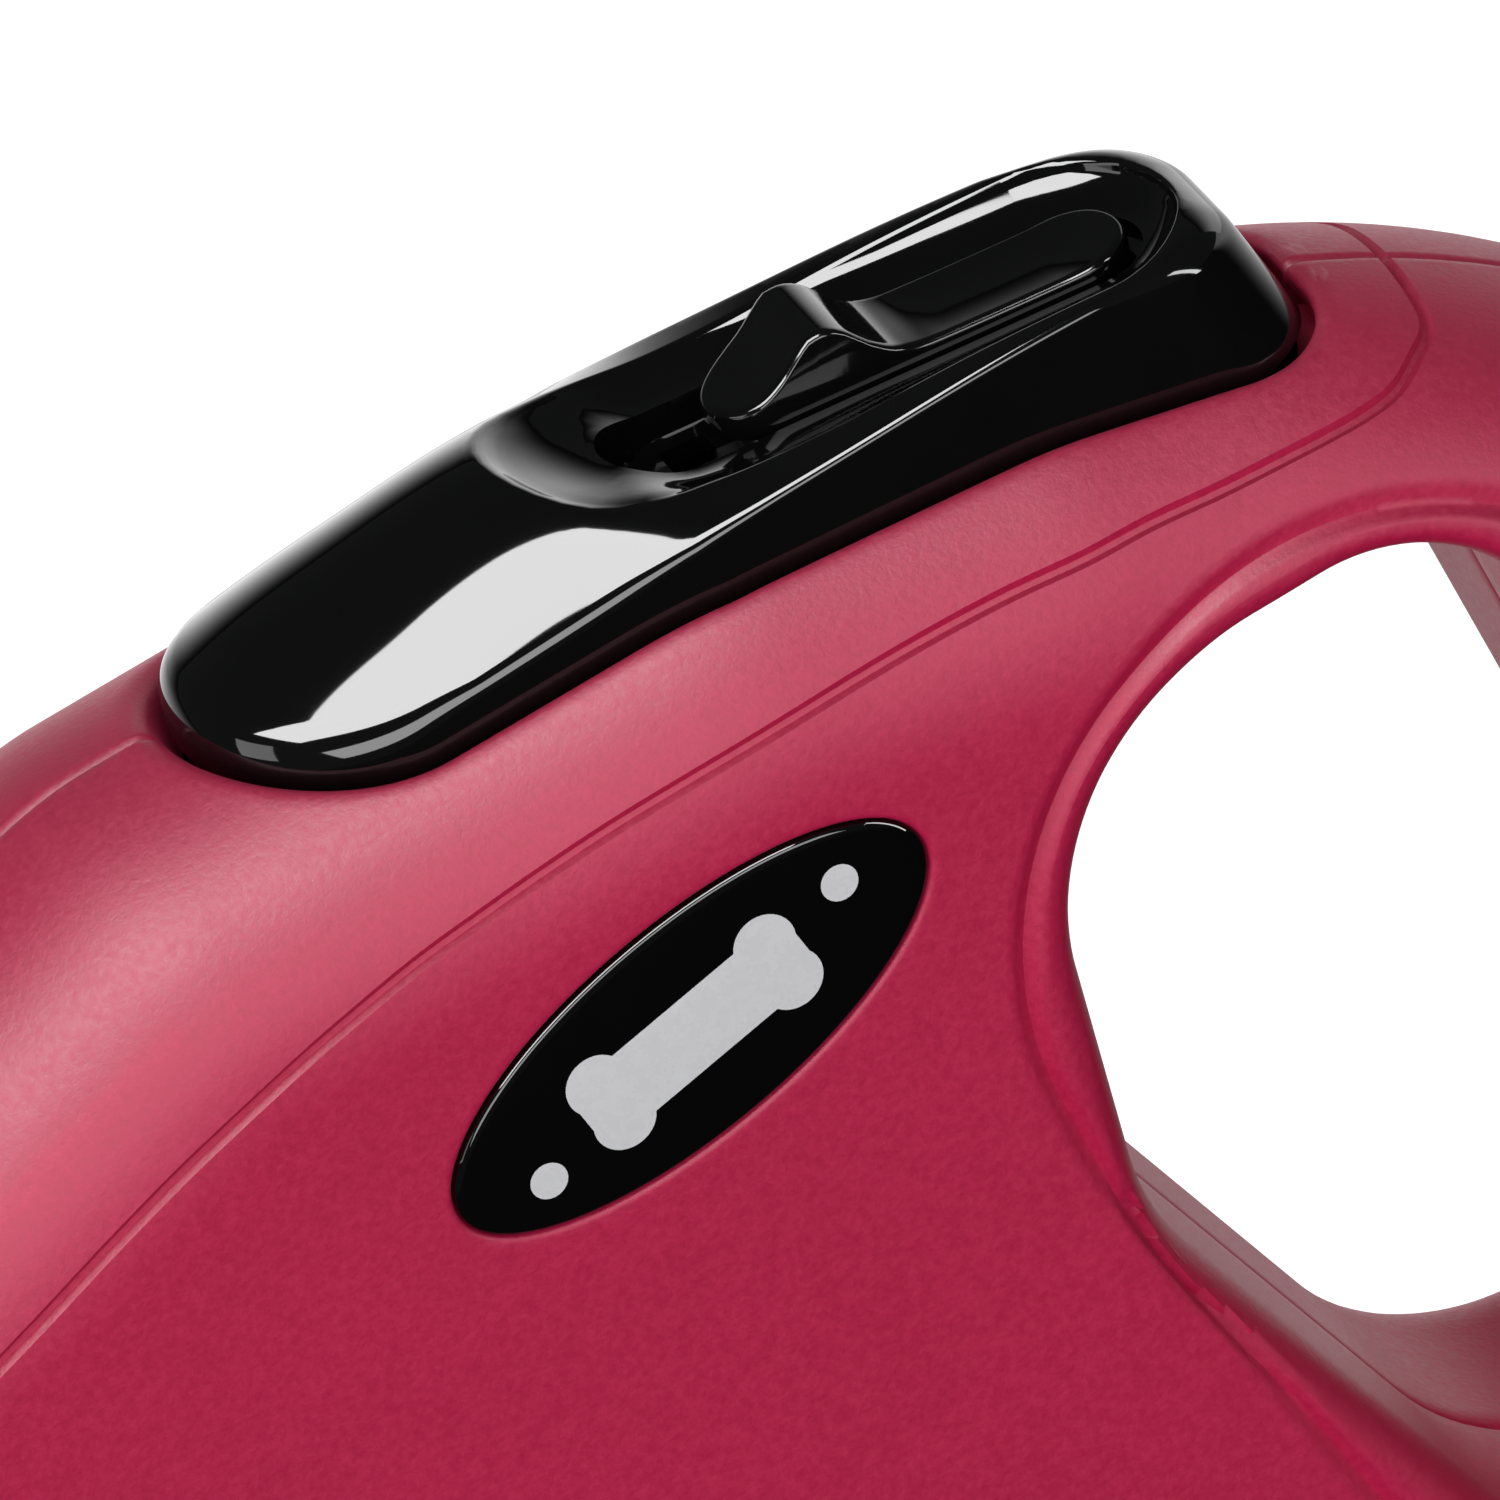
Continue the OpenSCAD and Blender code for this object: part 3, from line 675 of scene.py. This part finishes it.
def dome_y(v):
    k = np.clip(np.hypot(v[:, 0] / BADGE_A, v[:, 1] / BADGE_B), 0, 1)
    steep = np.hypot(v[:, 0] / BADGE_A ** 2, v[:, 1] / BADGE_B ** 2)
    d = np.clip(-(k - 1) / (steep / (k + 1e-9) + 1e-9), 0, None)
    crown = 0.16 * (1 - k ** 2)
    edge = np.sqrt(np.clip(1 - (1 - np.clip(d / 1.9, 0, 1)) ** 2, 0, 1))
    return BADGE_EDGE_Y + crown + (DOME - 0.16) * edge


def make_badge(side):
    name = "left" if side < 0 else "right"
    # a plain bone and two dots, printed on the resin
    marks = [bone(5.6, 1.75, 1.35), oval((10.6, 1.3), 1.05, 1.05, 0, 24),
             oval((-10.6, -1.3), 1.05, 1.05, 0, 24)]
    fades = 1 - np.array([0, 0.012, 0.03, 0.055, 0.09, 0.135, 0.19, 0.25, 0.32])
    edge = ellipse(0, 150)
    lines = [(edge * f, True) for f in fades] + [(m, True) for m in marks]
    grid = hex_grid((-16, -7), (16, 7), 0.5)
    keep = np.hypot(grid[:, 0] / BADGE_A, grid[:, 1] / BADGE_B) < 0.64
    q, tri = triangulate(grid[keep], lines)
    a, b, c = (q[tri[:, k]] for k in range(3))
    area = (b[:, 0] - a[:, 0]) * (c[:, 1] - a[:, 1]) - (b[:, 1] - a[:, 1]) * (c[:, 0] - a[:, 0])
    tri[area < 0] = tri[area < 0][:, ::-1]
    tri = tri[np.abs(area) > 1e-7]
    mid = q[tri].mean(1)

    def within(poly, p):
        inside = np.zeros(len(p), bool)
        for u, w in zip(poly, np.roll(poly, -1, axis=0)):
            cross = (u[1] > p[:, 1]) != (w[1] > p[:, 1])
            x = u[0] + (p[:, 1] - u[1]) / (w[1] - u[1] + 1e-12) * (w[0] - u[0])
            inside ^= cross & (p[:, 0] < x)
        return inside

    printed = np.zeros(len(mid), bool)
    for m in marks:
        printed |= within(m, mid)
    place = badge_place(q)
    y = -dome_y(q)
    top = np.stack([place[:, 0], y, place[:, 1]], 1)
    faces = tri.tolist()
    mats = printed.astype(int).tolist()
    loop = border(tri)
    verts = list(top)
    floor = {}
    for i in sorted({k for e in loop for k in e}):
        floor[i] = len(verts)
        verts.append(np.array([top[i][0], -HALF_T + BADGE_DEEP, top[i][2]]))
    centre = len(verts)
    verts.append(np.array([BADGE_C[0], -HALF_T + BADGE_DEEP, BADGE_C[1]]))
    for i, j in loop:
        faces += [[j, i, floor[i], floor[j]], [floor[j], floor[i], centre]]
        mats += [0, 0]
    verts = np.array(verts)
    if side > 0:
        verts[:, 1] *= -1
        faces = [f[::-1] for f in faces]
    obj = build("badge_" + name, verts, faces, "housing", [RESIN, PRINT], 45, mats)
    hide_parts(name + "_badge")
    return obj


badges = [make_badge(-1), make_badge(1)]


# ---- brake button ----

BTN = Hull(PLAN)
SLOPE = math.tan(SLIDER_TILT)
LEAN = math.cos(SLIDER_TILT)
SLOT_FRONT, SLOT_REAR, SLOT_R = -13.9, 9.7, 3.5
BED = -2.2             # floor of the slot, below the slider line
ROOF = -3.3            # underside of that floor
BTN_WALL = 1.7
RIM_LINE = [(-68.6, 58), (-58.2, 56.6), (-54, 55.8), (-48, 54.8), (-42, 54), (-38, 53.2), (-33, 52),
            (-24, 49.7), (-18, 47.9), (-12.5, 46), (-9.7, 44.8)]
CROWN_LINE = [(-68.6, 60.5), (-66, 61.3), (-62, 61.6), (-55, 61.1), (-50, 60.5), (-46, 59.5), (-43, 57.9),
              (-40, 56.0), (-37, 54.2), (-33, 52.6), (-24, 50.1), (-18, 48.2), (-12.5, 46.2), (-9.7, 45)]
EDGE_LINE = [(-68.6, 2.2), (-64, 1.7), (-58, 0.8), (-55, 0.5), (-18, 0.5), (-14, 1.4), (-9.7, 2.0)]


def slot_local(p):
    """Plan points in the slider's own plane: distance outside the slot, and the outward direction."""
    xl = (p[:, 0] - SLIDER_O[0]) / LEAN
    near = np.clip(xl, SLOT_FRONT, SLOT_REAR)
    d = np.stack([xl - near, p[:, 1]], 1)
    length = np.hypot(d[:, 0], d[:, 1]) + 1e-9
    return xl, length - SLOT_R, d / length[:, None]


def dish_reach(xl, n):
    front = np.clip(-n[:, 0], 0, 1)
    rear = np.clip(n[:, 0], 0, 1)
    return 3.75 + 1.75 * smooth(front / 0.85) - 0.75 * smooth(rear / 0.9)


def slider_z(x, h):
    return SLIDER_O[1] - (x - SLIDER_O[0]) * SLOPE + h / LEAN


def bed_lift(xl):
    """How far the slot's floor rises at its rear end, over the lever's hub."""
    return smooth((xl - 7) / 4)


def button_top(p, fillet=True):
    """Height of the button's outer face over plan points."""
    x, y = p[:, 0], p[:, 1]
    hw = np.interp(x, [-42.5, -9.7], [10.2, 7.4])
    rim, crown = spline(RIM_LINE, x), spline(CROWN_LINE, x)
    top = rim + (crown - rim) * (1 - np.clip(y / hw, -1, 1) ** 2)
    xl, u, n = slot_local(p)
    edge = slider_z(x, -0.45 + 0.95 * smooth((-14 - xl) / 3.4))
    t = np.clip(u / dish_reach(xl, n), 0, 1)
    s = smooth((t - 0.8) / 0.2)
    w = t ** 2 * (1 - s) + s
    z = edge + (top - edge) * w
    if fillet:
        r = np.interp(x, *np.array(EDGE_LINE).T)
        z -= fillet_drop(np.clip(-BTN.dist(p)[0], 0, None), r)
    return z


def slot_ring(u, step):
    """Outline of the slot grown by u, in plan, anticlockwise."""
    r = SLOT_R + u
    n = max(10, int(math.pi * r / step))
    t = np.linspace(-math.pi / 2, math.pi / 2, n)
    m = max(2, int((SLOT_REAR - SLOT_FRONT) / step))
    xs = np.linspace(SLOT_REAR, SLOT_FRONT, m + 1)[1:-1]
    ring = np.concatenate([
        np.stack([SLOT_REAR + r * np.cos(t), r * np.sin(t)], 1), np.stack([xs, np.full(len(xs), r)], 1),
        np.stack([SLOT_FRONT - r * np.cos(t), -r * np.sin(t)], 1),
        np.stack([xs[::-1], np.full(len(xs), -r)], 1)])
    return np.stack([SLIDER_O[0] + ring[:, 0] * LEAN, ring[:, 1]], 1)


def dish_ring(f, step):
    """Outline at a share f of the dish's reach round the slot."""
    base = slot_ring(0, step)
    xl, _, n = slot_local(base)
    reach = f * dish_reach(xl, n)
    return base + np.stack([n[:, 0] * reach * LEAN, n[:, 1] * reach], 1)


def make_button():
    outline = BTN.contour(0, 0.4)
    away = BTN.dist(outline + 1e-6)[1]
    r = np.interp(outline[:, 0], *np.array(EDGE_LINE).T)
    lines = [(outline - away * (f * r)[:, None], True) for f in (0, 0.02, 0.08, 0.19, 0.34, 0.55, 0.8, 1.05)]
    lines += [(slot_ring(0, 0.45), True)]
    lines += [(dish_ring(f, 0.5), True) for f in
              (0.05, 0.14, 0.24, 0.36, 0.48, 0.6, 0.7, 0.78, 0.83, 0.87, 0.91, 0.95, 0.975, 1, 1.03)]
    grid = hex_grid((-70, -11), (-8, 11), 0.5)
    rg = np.interp(grid[:, 0], *np.array(EDGE_LINE).T)
    xl, u, n = slot_local(grid)
    t = u / dish_reach(xl, n)
    keep = (-BTN.dist(grid)[0] > 1.1 * rg + 0.1) & (t > 1.07)
    q, tri = triangulate(grid[keep], lines)
    mid = q[tri].mean(1)
    inside = (BTN.dist(mid)[0] < 0) & (slot_local(mid)[1] > 0)
    a, b, c = (q[tri[:, k]] for k in range(3))
    area = (b[:, 0] - a[:, 0]) * (c[:, 1] - a[:, 1]) - (b[:, 1] - a[:, 1]) * (c[:, 0] - a[:, 0])
    inside &= np.abs(area) > 1e-7
    tri[area < 0] = tri[area < 0][:, ::-1]
    tri = tri[inside]
    used = np.unique(tri)
    index = np.full(len(q), -1)
    index[used] = np.arange(len(used))
    q, tri = q[used], index[tri]
    z = button_top(q)
    top = np.column_stack([q, z])
    # inner face: plan drawn in by the wall, and dropped below the slot's floor near the slot
    d, out_n = BTN.dist(q)
    depth = -d
    pull = np.where(depth < 4.5, BTN_WALL * (1 - depth / 4.5), 0)
    q_in = q - out_n * pull[:, None]
    xl, u, n = slot_local(q_in)
    z_in = button_top(q_in, False) - 1.8
    floor_z = slider_z(q_in[:, 0], ROOF + bed_lift(xl))
    share = smooth((u - 1.0) / 1.4)
    z_in = np.minimum(z_in, z_in * share + floor_z * (1 - share))
    low = np.column_stack([q_in, z_in])
    verts, faces = list(top) + list(low), tri.tolist()
    n0 = len(q)
    faces += [[c + n0, b + n0, a + n0] for a, b, c in tri.tolist()]
    loops = border(tri)
    on_rim = depth < 1e-3
    skirt = lambda x: 49.8 + (x + 68.6) * (36.5 - 49.8) / 58.9
    ids = {}
    for i in sorted({k for e in loops for k in e}):
        if not on_rim[i]:
            continue
        col = [i]
        end = skirt(q[i, 0])
        for f in (0.25, 0.6, 1.0):
            col.append(len(verts))
            verts.append(np.array([q[i, 0], q[i, 1], z[i] + (end - z[i]) * f]))
        col.append(len(verts))
        verts.append(np.array([q_in[i, 0], q_in[i, 1], end]))
        col.append(i + n0)
        ids[i] = col
    for i, j in loops:
        if on_rim[i] and on_rim[j]:
            for a, b, a2, b2 in zip(ids[i], ids[j], ids[i][1:], ids[j][1:]):
                faces.append([b, a, a2, b2])
    # slot: wall, floor, and the window for the slider's tongue
    slot = {}
    window = (-14.1, 4.1, 2.05)

    def bed_point(xl, y, h):
        return np.array([SLIDER_O[0] + xl * LEAN + h * math.sin(SLIDER_TILT), y,
                         SLIDER_O[1] - xl * math.sin(SLIDER_TILT) + h * LEAN])

    for i in sorted({k for e in loops for k in e}):
        if on_rim[i]:
            continue
        # a plain drop in Z moves back along the slider's line
        xl = (q[i, 0] - SLIDER_O[0]) / LEAN - BED * SLOPE
        wx, wy = np.clip(xl, window[0], window[1]), np.clip(q[i, 1], -window[2], window[2])
        col = [i]
        bed = BED + bed_lift(xl)
        for p in (bed_point(xl - 0.25 * SLOPE, q[i, 1], bed + 0.25),
                  bed_point(xl + (wx - xl) * 0.08, q[i, 1] * 0.92 + wy * 0.08, bed),
                  bed_point(wx, wy, BED), bed_point(wx, wy, ROOF)):
            col.append(len(verts))
            verts.append(p)
        col.append(i + n0)
        slot[i] = col
    for i, j in loops:
        if not on_rim[i] and not on_rim[j]:
            for a, b, a2, b2 in zip(slot[i], slot[j], slot[i][1:], slot[j][1:]):
                faces.append([b, a, a2, b2])
    obj = build("button_cap", verts, faces, "button", [BLACK], 50)
    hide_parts("brake_button")
    return obj


button = make_button()


# ---- lock slider ----

TONGUE = -3.9          # underside of the tongue that reaches down through the slot
WAVE = [(-11.6, 0.6), (-10.7, 0.7), (-9.4, 1.1), (-8, 1.9), (-6.7, 3.0), (-5.9, 3.55), (-5.2, 3.6), (-4.3, 3.3),
        (-3.5, 2.6), (-2.7, 1.75), (-1.2, 0.75), (0.2, 0.5), (8, 0.42), (12.6, 0.7)]
SLIDER_ENDS = (-11.55, 12.55)
SLIDER_HALF = 3.2


def make_slider():
    lo, hi = SLIDER_ENDS[0] + SLIDER_HALF, SLIDER_ENDS[1] - SLIDER_HALF

    def ring(d):
        r = SLIDER_HALF - d
        t = np.linspace(-math.pi / 2, math.pi / 2, 30)
        xs = np.linspace(hi, lo, 46)[1:-1]
        return np.concatenate([np.stack([hi + r * np.cos(t), r * np.sin(t)], 1),
                               np.stack([xs, np.full(len(xs), r)], 1),
                               np.stack([lo - r * np.cos(t), -r * np.sin(t)], 1),
                               np.stack([xs[::-1], np.full(len(xs), -r)], 1)])

    def depth(p):
        near = np.clip(p[:, 0], lo, hi)
        return SLIDER_HALF - np.hypot(p[:, 0] - near, p[:, 1])

    grid = hex_grid((-12, -3.4), (13, 3.4), 0.33)
    q, tri = triangulate(grid[depth(grid) > 0.75], [(ring(d), True) for d in
                                                    (0, 0.02, 0.07, 0.15, 0.26, 0.4, 0.6)])
    a, b, c = (q[tri[:, k]] for k in range(3))
    area = (b[:, 0] - a[:, 0]) * (c[:, 1] - a[:, 1]) - (b[:, 1] - a[:, 1]) * (c[:, 0] - a[:, 0])
    tri[area < 0] = tri[area < 0][:, ::-1]
    tri = tri[np.abs(area) > 1e-7]
    h = spline(WAVE, q[:, 0])
    hollow = smooth((q[:, 0] + 1.5) / 3) * (1 - smooth((q[:, 0] - 8) / 4))
    h -= 0.22 * (1 - (q[:, 1] / SLIDER_HALF) ** 2) * hollow
    h -= fillet_drop(np.clip(depth(q), 0, None), 0.4)
    verts = [np.array([x, y, z]) for (x, y), z in zip(q, h)]
    faces = tri.tolist()
    loop = border(tri)
    ids = {}
    for i in sorted({k for e in loop for k in e}):
        ids[i] = (len(verts), len(verts) + 1)
        verts.append(np.array([q[i, 0], q[i, 1], -0.9]))
        verts.append(np.array([np.clip(q[i, 0], -9.7, 3.8), np.clip(q[i, 1], -1.75, 1.75), -0.9]))
    foot = {}
    for i in ids:
        foot[i] = len(verts)
        p = verts[ids[i][1]]
        verts.append(np.array([p[0], p[1], TONGUE]))
    centre = len(verts)
    verts.append(np.array([-3.0, 0, TONGUE]))
    for i, j in loop:
        faces += [[j, i, ids[i][0], ids[j][0]], [ids[j][0], ids[i][0], ids[i][1], ids[j][1]],
                  [ids[j][1], ids[i][1], foot[i], foot[j]], [foot[j], foot[i], centre]]
    v = np.array(verts)
    ct, st = math.cos(SLIDER_TILT), math.sin(SLIDER_TILT)
    place = np.column_stack([SLIDER_O[0] + v[:, 0] * ct + v[:, 2] * st, v[:, 1],
                             SLIDER_O[1] - v[:, 0] * st + v[:, 2] * ct])
    obj = build("slider_pad", place, faces, "slider", [SLIDER], 50)
    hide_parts("lock_slider")
    return obj


slider = make_slider()


# ---- materials of the CAD pieces that stay in view when it opens ----

LOOKS = {
    "housing_screws": ZINC, "button_pin": PIN, "lever_pin": PIN, "roller_pin": PIN, "spindle": PIN,
    "near_washer": PIN, "far_washer": PIN, "spring_arbor": PIN, "button_spring": SPRING,
    "lever_spring": SPRING, "mainspring": SPRING, "slider_keeper": INNER, "brake_lever": ACETAL,
    "reel": ACETAL, "ratchet_flange": ACETAL, "spring_barrel": ACETAL, "barrel_cover": ACETAL,
    "guide_roller": ACETAL, "wound_tape": TAPE, "tape_run": TAPE, "outlet_guide": GUIDE,
    "tape_end_stop": STOP,
}
for node, look in LOOKS.items():
    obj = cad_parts[node]
    if not obj.material_slots:
        obj.data.materials.append(look)
    for slot in obj.material_slots:
        slot.material = look


# ---- coil springs, copied from the CAD pieces onto the housing; the real ones shorten as the button goes down ----

def make_spring(node):
    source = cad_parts[node]
    me = source.data.copy()
    me.transform(source.matrix_world)
    me.materials.clear()
    me.materials.append(SPRING)
    obj = bpy.data.objects.new("coil_" + node, me)
    bpy.context.scene.collection.objects.link(obj)
    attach(obj, "housing")
    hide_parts(node)
    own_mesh(obj)


make_spring("button_spring")
make_spring("lever_spring")


# ---- studio ----

def emitter(name, strength):
    """A glow that the camera sees whole; in reflections it fades out towards the front."""
    mat = bpy.data.materials.new(name)
    mat.use_nodes = True
    nt = mat.node_tree
    nt.nodes.clear()
    out = nt.nodes.new("ShaderNodeOutputMaterial")
    glow = nt.nodes.new("ShaderNodeEmission")
    place = nt.nodes.new("ShaderNodeTexCoord")
    axes = nt.nodes.new("ShaderNodeSeparateXYZ")
    fade = nt.nodes.new("ShaderNodeMapRange")
    fade.interpolation_type = "SMOOTHSTEP"
    for k, v in ((1, 0.1), (2, 1.0), (3, 0.012), (4, 0.9)):
        fade.inputs[k].default_value = v
    path = nt.nodes.new("ShaderNodeLightPath")
    pick = nt.nodes.new("ShaderNodeMix")
    pick.data_type = "FLOAT"
    pick.inputs[3].default_value = strength
    nt.links.new(place.outputs["Object"], axes.inputs[0])
    nt.links.new(axes.outputs[1], fade.inputs[0])
    nt.links.new(path.outputs["Is Camera Ray"], pick.inputs[0])
    nt.links.new(fade.outputs[0], pick.inputs[2])
    nt.links.new(pick.outputs[0], glow.inputs["Strength"])
    nt.links.new(glow.outputs[0], out.inputs["Surface"])
    return mat


def haze_glow():
    mat = bpy.data.materials.new("haze_white")
    mat.use_nodes = True
    nt = mat.node_tree
    nt.nodes.clear()
    out = nt.nodes.new("ShaderNodeOutputMaterial")
    glow = nt.nodes.new("ShaderNodeEmission")
    place = nt.nodes.new("ShaderNodeTexCoord")
    axes = nt.nodes.new("ShaderNodeSeparateXYZ")
    fade = nt.nodes.new("ShaderNodeMapRange")
    fade.interpolation_type = "SMOOTHSTEP"
    for k, v in ((1, 0.35), (2, 1.3), (3, 1.5), (4, 0.0)):
        fade.inputs[k].default_value = v
    nt.links.new(place.outputs["Object"], axes.inputs[0])
    nt.links.new(axes.outputs[2], fade.inputs[0])
    nt.links.new(fade.outputs[0], glow.inputs["Strength"])
    nt.links.new(glow.outputs[0], out.inputs["Surface"])
    return mat


def softbox(name, centre, size, toward, radiance, glossy=True, diffuse=True, colour=(1, 1, 1)):
    light = bpy.data.lights.new(name, "AREA")
    light.shape = "RECTANGLE"
    light.size, light.size_y = size[0] * MM, size[1] * MM
    light.energy = radiance * math.pi * size[0] * size[1] * MM * MM
    light.color = colour
    obj = bpy.data.objects.new(name, light)
    bpy.context.scene.collection.objects.link(obj)
    obj.location = Vector(centre) * MM
    aim = (Vector(toward) - Vector(centre)).normalized()
    obj.rotation_euler = aim.to_track_quat("-Z", "Y").to_euler()
    obj.visible_camera = False
    obj.visible_glossy = glossy
    obj.visible_diffuse = diffuse
    return obj


def studio():
    # overhead box: its far edge stands above the button, so only the near half mirrors it
    softbox("box_top", (-20, -205, 560), (640, 300), (-20, -205, 0), 18, diffuse=False)
    softbox("card_front", (-40, -560, 300), (760, 200), (-40, 0, 30), 6.5, diffuse=False)
    softbox("card_rear", (330, -230, 60), (50, 300), (-15, 0, 45), 14, diffuse=False)
    # fill light for the matt plastic
    softbox("fill_left", (-520, -420, 420), (500, 500), (-60, -10, 20), 3.4, glossy=False)
    softbox("fill_top", (-40, -160, 700), (700, 500), (-60, -10, 20), 1.7, glossy=False)
    softbox("fill_front", (20, -800, 120), (1000, 800), (-30, 0, 20), 2.1, glossy=False)
    softbox("fill_back", (0, 900, 420), (1100, 800), (-30, 0, 20), 1.5, glossy=False)
    softbox("sheen_left", (-560, -130, 330), (260, 300), (-70, 0, 40), 2.6, diffuse=False)
    # pale floor, far below so that it takes no shadow
    me = bpy.data.meshes.new("floor")
    s = 6.0
    me.from_pydata([(-s, -s, 0), (s, -s, 0), (s, s, 0), (-s, s, 0)], [], [(0, 1, 2, 3)])
    floor = bpy.data.objects.new("floor", me)
    bpy.context.scene.collection.objects.link(floor)
    floor.location = (0, 0, -0.6)
    me.materials.append(emitter("floor_white", 1.2))
    # bright haze low behind the object, fading upward; only mirrored, never seen
    me = bpy.data.meshes.new("haze")
    me.from_pydata([(-3, 0, 0), (3, 0, 0), (3, 0, 1.3), (-3, 0, 1.3)], [], [(0, 1, 2, 3)])
    haze = bpy.data.objects.new("haze", me)
    bpy.context.scene.collection.objects.link(haze)
    haze.location = (0, 1.5, -0.6)
    me.materials.append(haze_glow())
    haze.visible_camera = haze.visible_diffuse = haze.visible_shadow = False
    world = bpy.data.worlds.new("studio")
    bpy.context.scene.world = world
    world.use_nodes = True
    nt = world.node_tree
    nt.nodes.clear()
    out = nt.nodes.new("ShaderNodeOutputWorld")
    path = nt.nodes.new("ShaderNodeLightPath")
    seen = nt.nodes.new("ShaderNodeBackground")
    seen.inputs["Color"].default_value = (1, 1, 1, 1)
    seen.inputs["Strength"].default_value = 1.2
    dim = nt.nodes.new("ShaderNodeBackground")
    dim.inputs["Color"].default_value = (0.9, 0.93, 1, 1)
    dim.inputs["Strength"].default_value = 0.06
    mix = nt.nodes.new("ShaderNodeMixShader")
    nt.links.new(path.outputs["Is Camera Ray"], mix.inputs[0])
    nt.links.new(dim.outputs[0], mix.inputs[1])
    nt.links.new(seen.outputs[0], mix.inputs[2])
    nt.links.new(mix.outputs[0], out.inputs["Surface"])
    bpy.context.scene.view_settings.view_transform = "Standard"


def camera():
    """The photograph's view: slightly from the left, 34 degrees above, the camera rolled."""
    a, e, roll = (math.radians(v) for v in (1.6, 34.3, 39.6))
    right0 = Vector((math.cos(a), -math.sin(a), 0))
    up0 = Vector((math.sin(a) * math.sin(e), math.cos(a) * math.sin(e), math.cos(e)))
    look = Vector((math.sin(a) * math.cos(e), math.cos(a) * math.cos(e), -math.sin(e)))
    right = math.cos(roll) * right0 - math.sin(roll) * up0
    up = math.sin(roll) * right0 + math.cos(roll) * up0
    width = 1500 / 19.5 * MM           # millimetres across the picture
    away = 2.0
    mark = Vector((-78, 0, 60)) * MM    # seen near the left edge, a little below the middle
    middle = mark + right * (750 - 25) / 1500 * width + up * (849 - 750) / 1500 * width
    cam = bpy.data.cameras.new("camera")
    cam.sensor_width = 36
    cam.lens = 36 * away / width
    cam.clip_end = 20
    obj = bpy.data.objects.new("camera", cam)
    bpy.context.scene.collection.objects.link(obj)
    obj.location = middle - look * away
    m = obj.matrix_world.to_3x3()
    for k in range(3):
        m[k][0], m[k][1], m[k][2] = right[k], up[k], -look[k]
    obj.rotation_euler = m.to_euler()
    bpy.context.scene.camera = obj


studio()
camera()
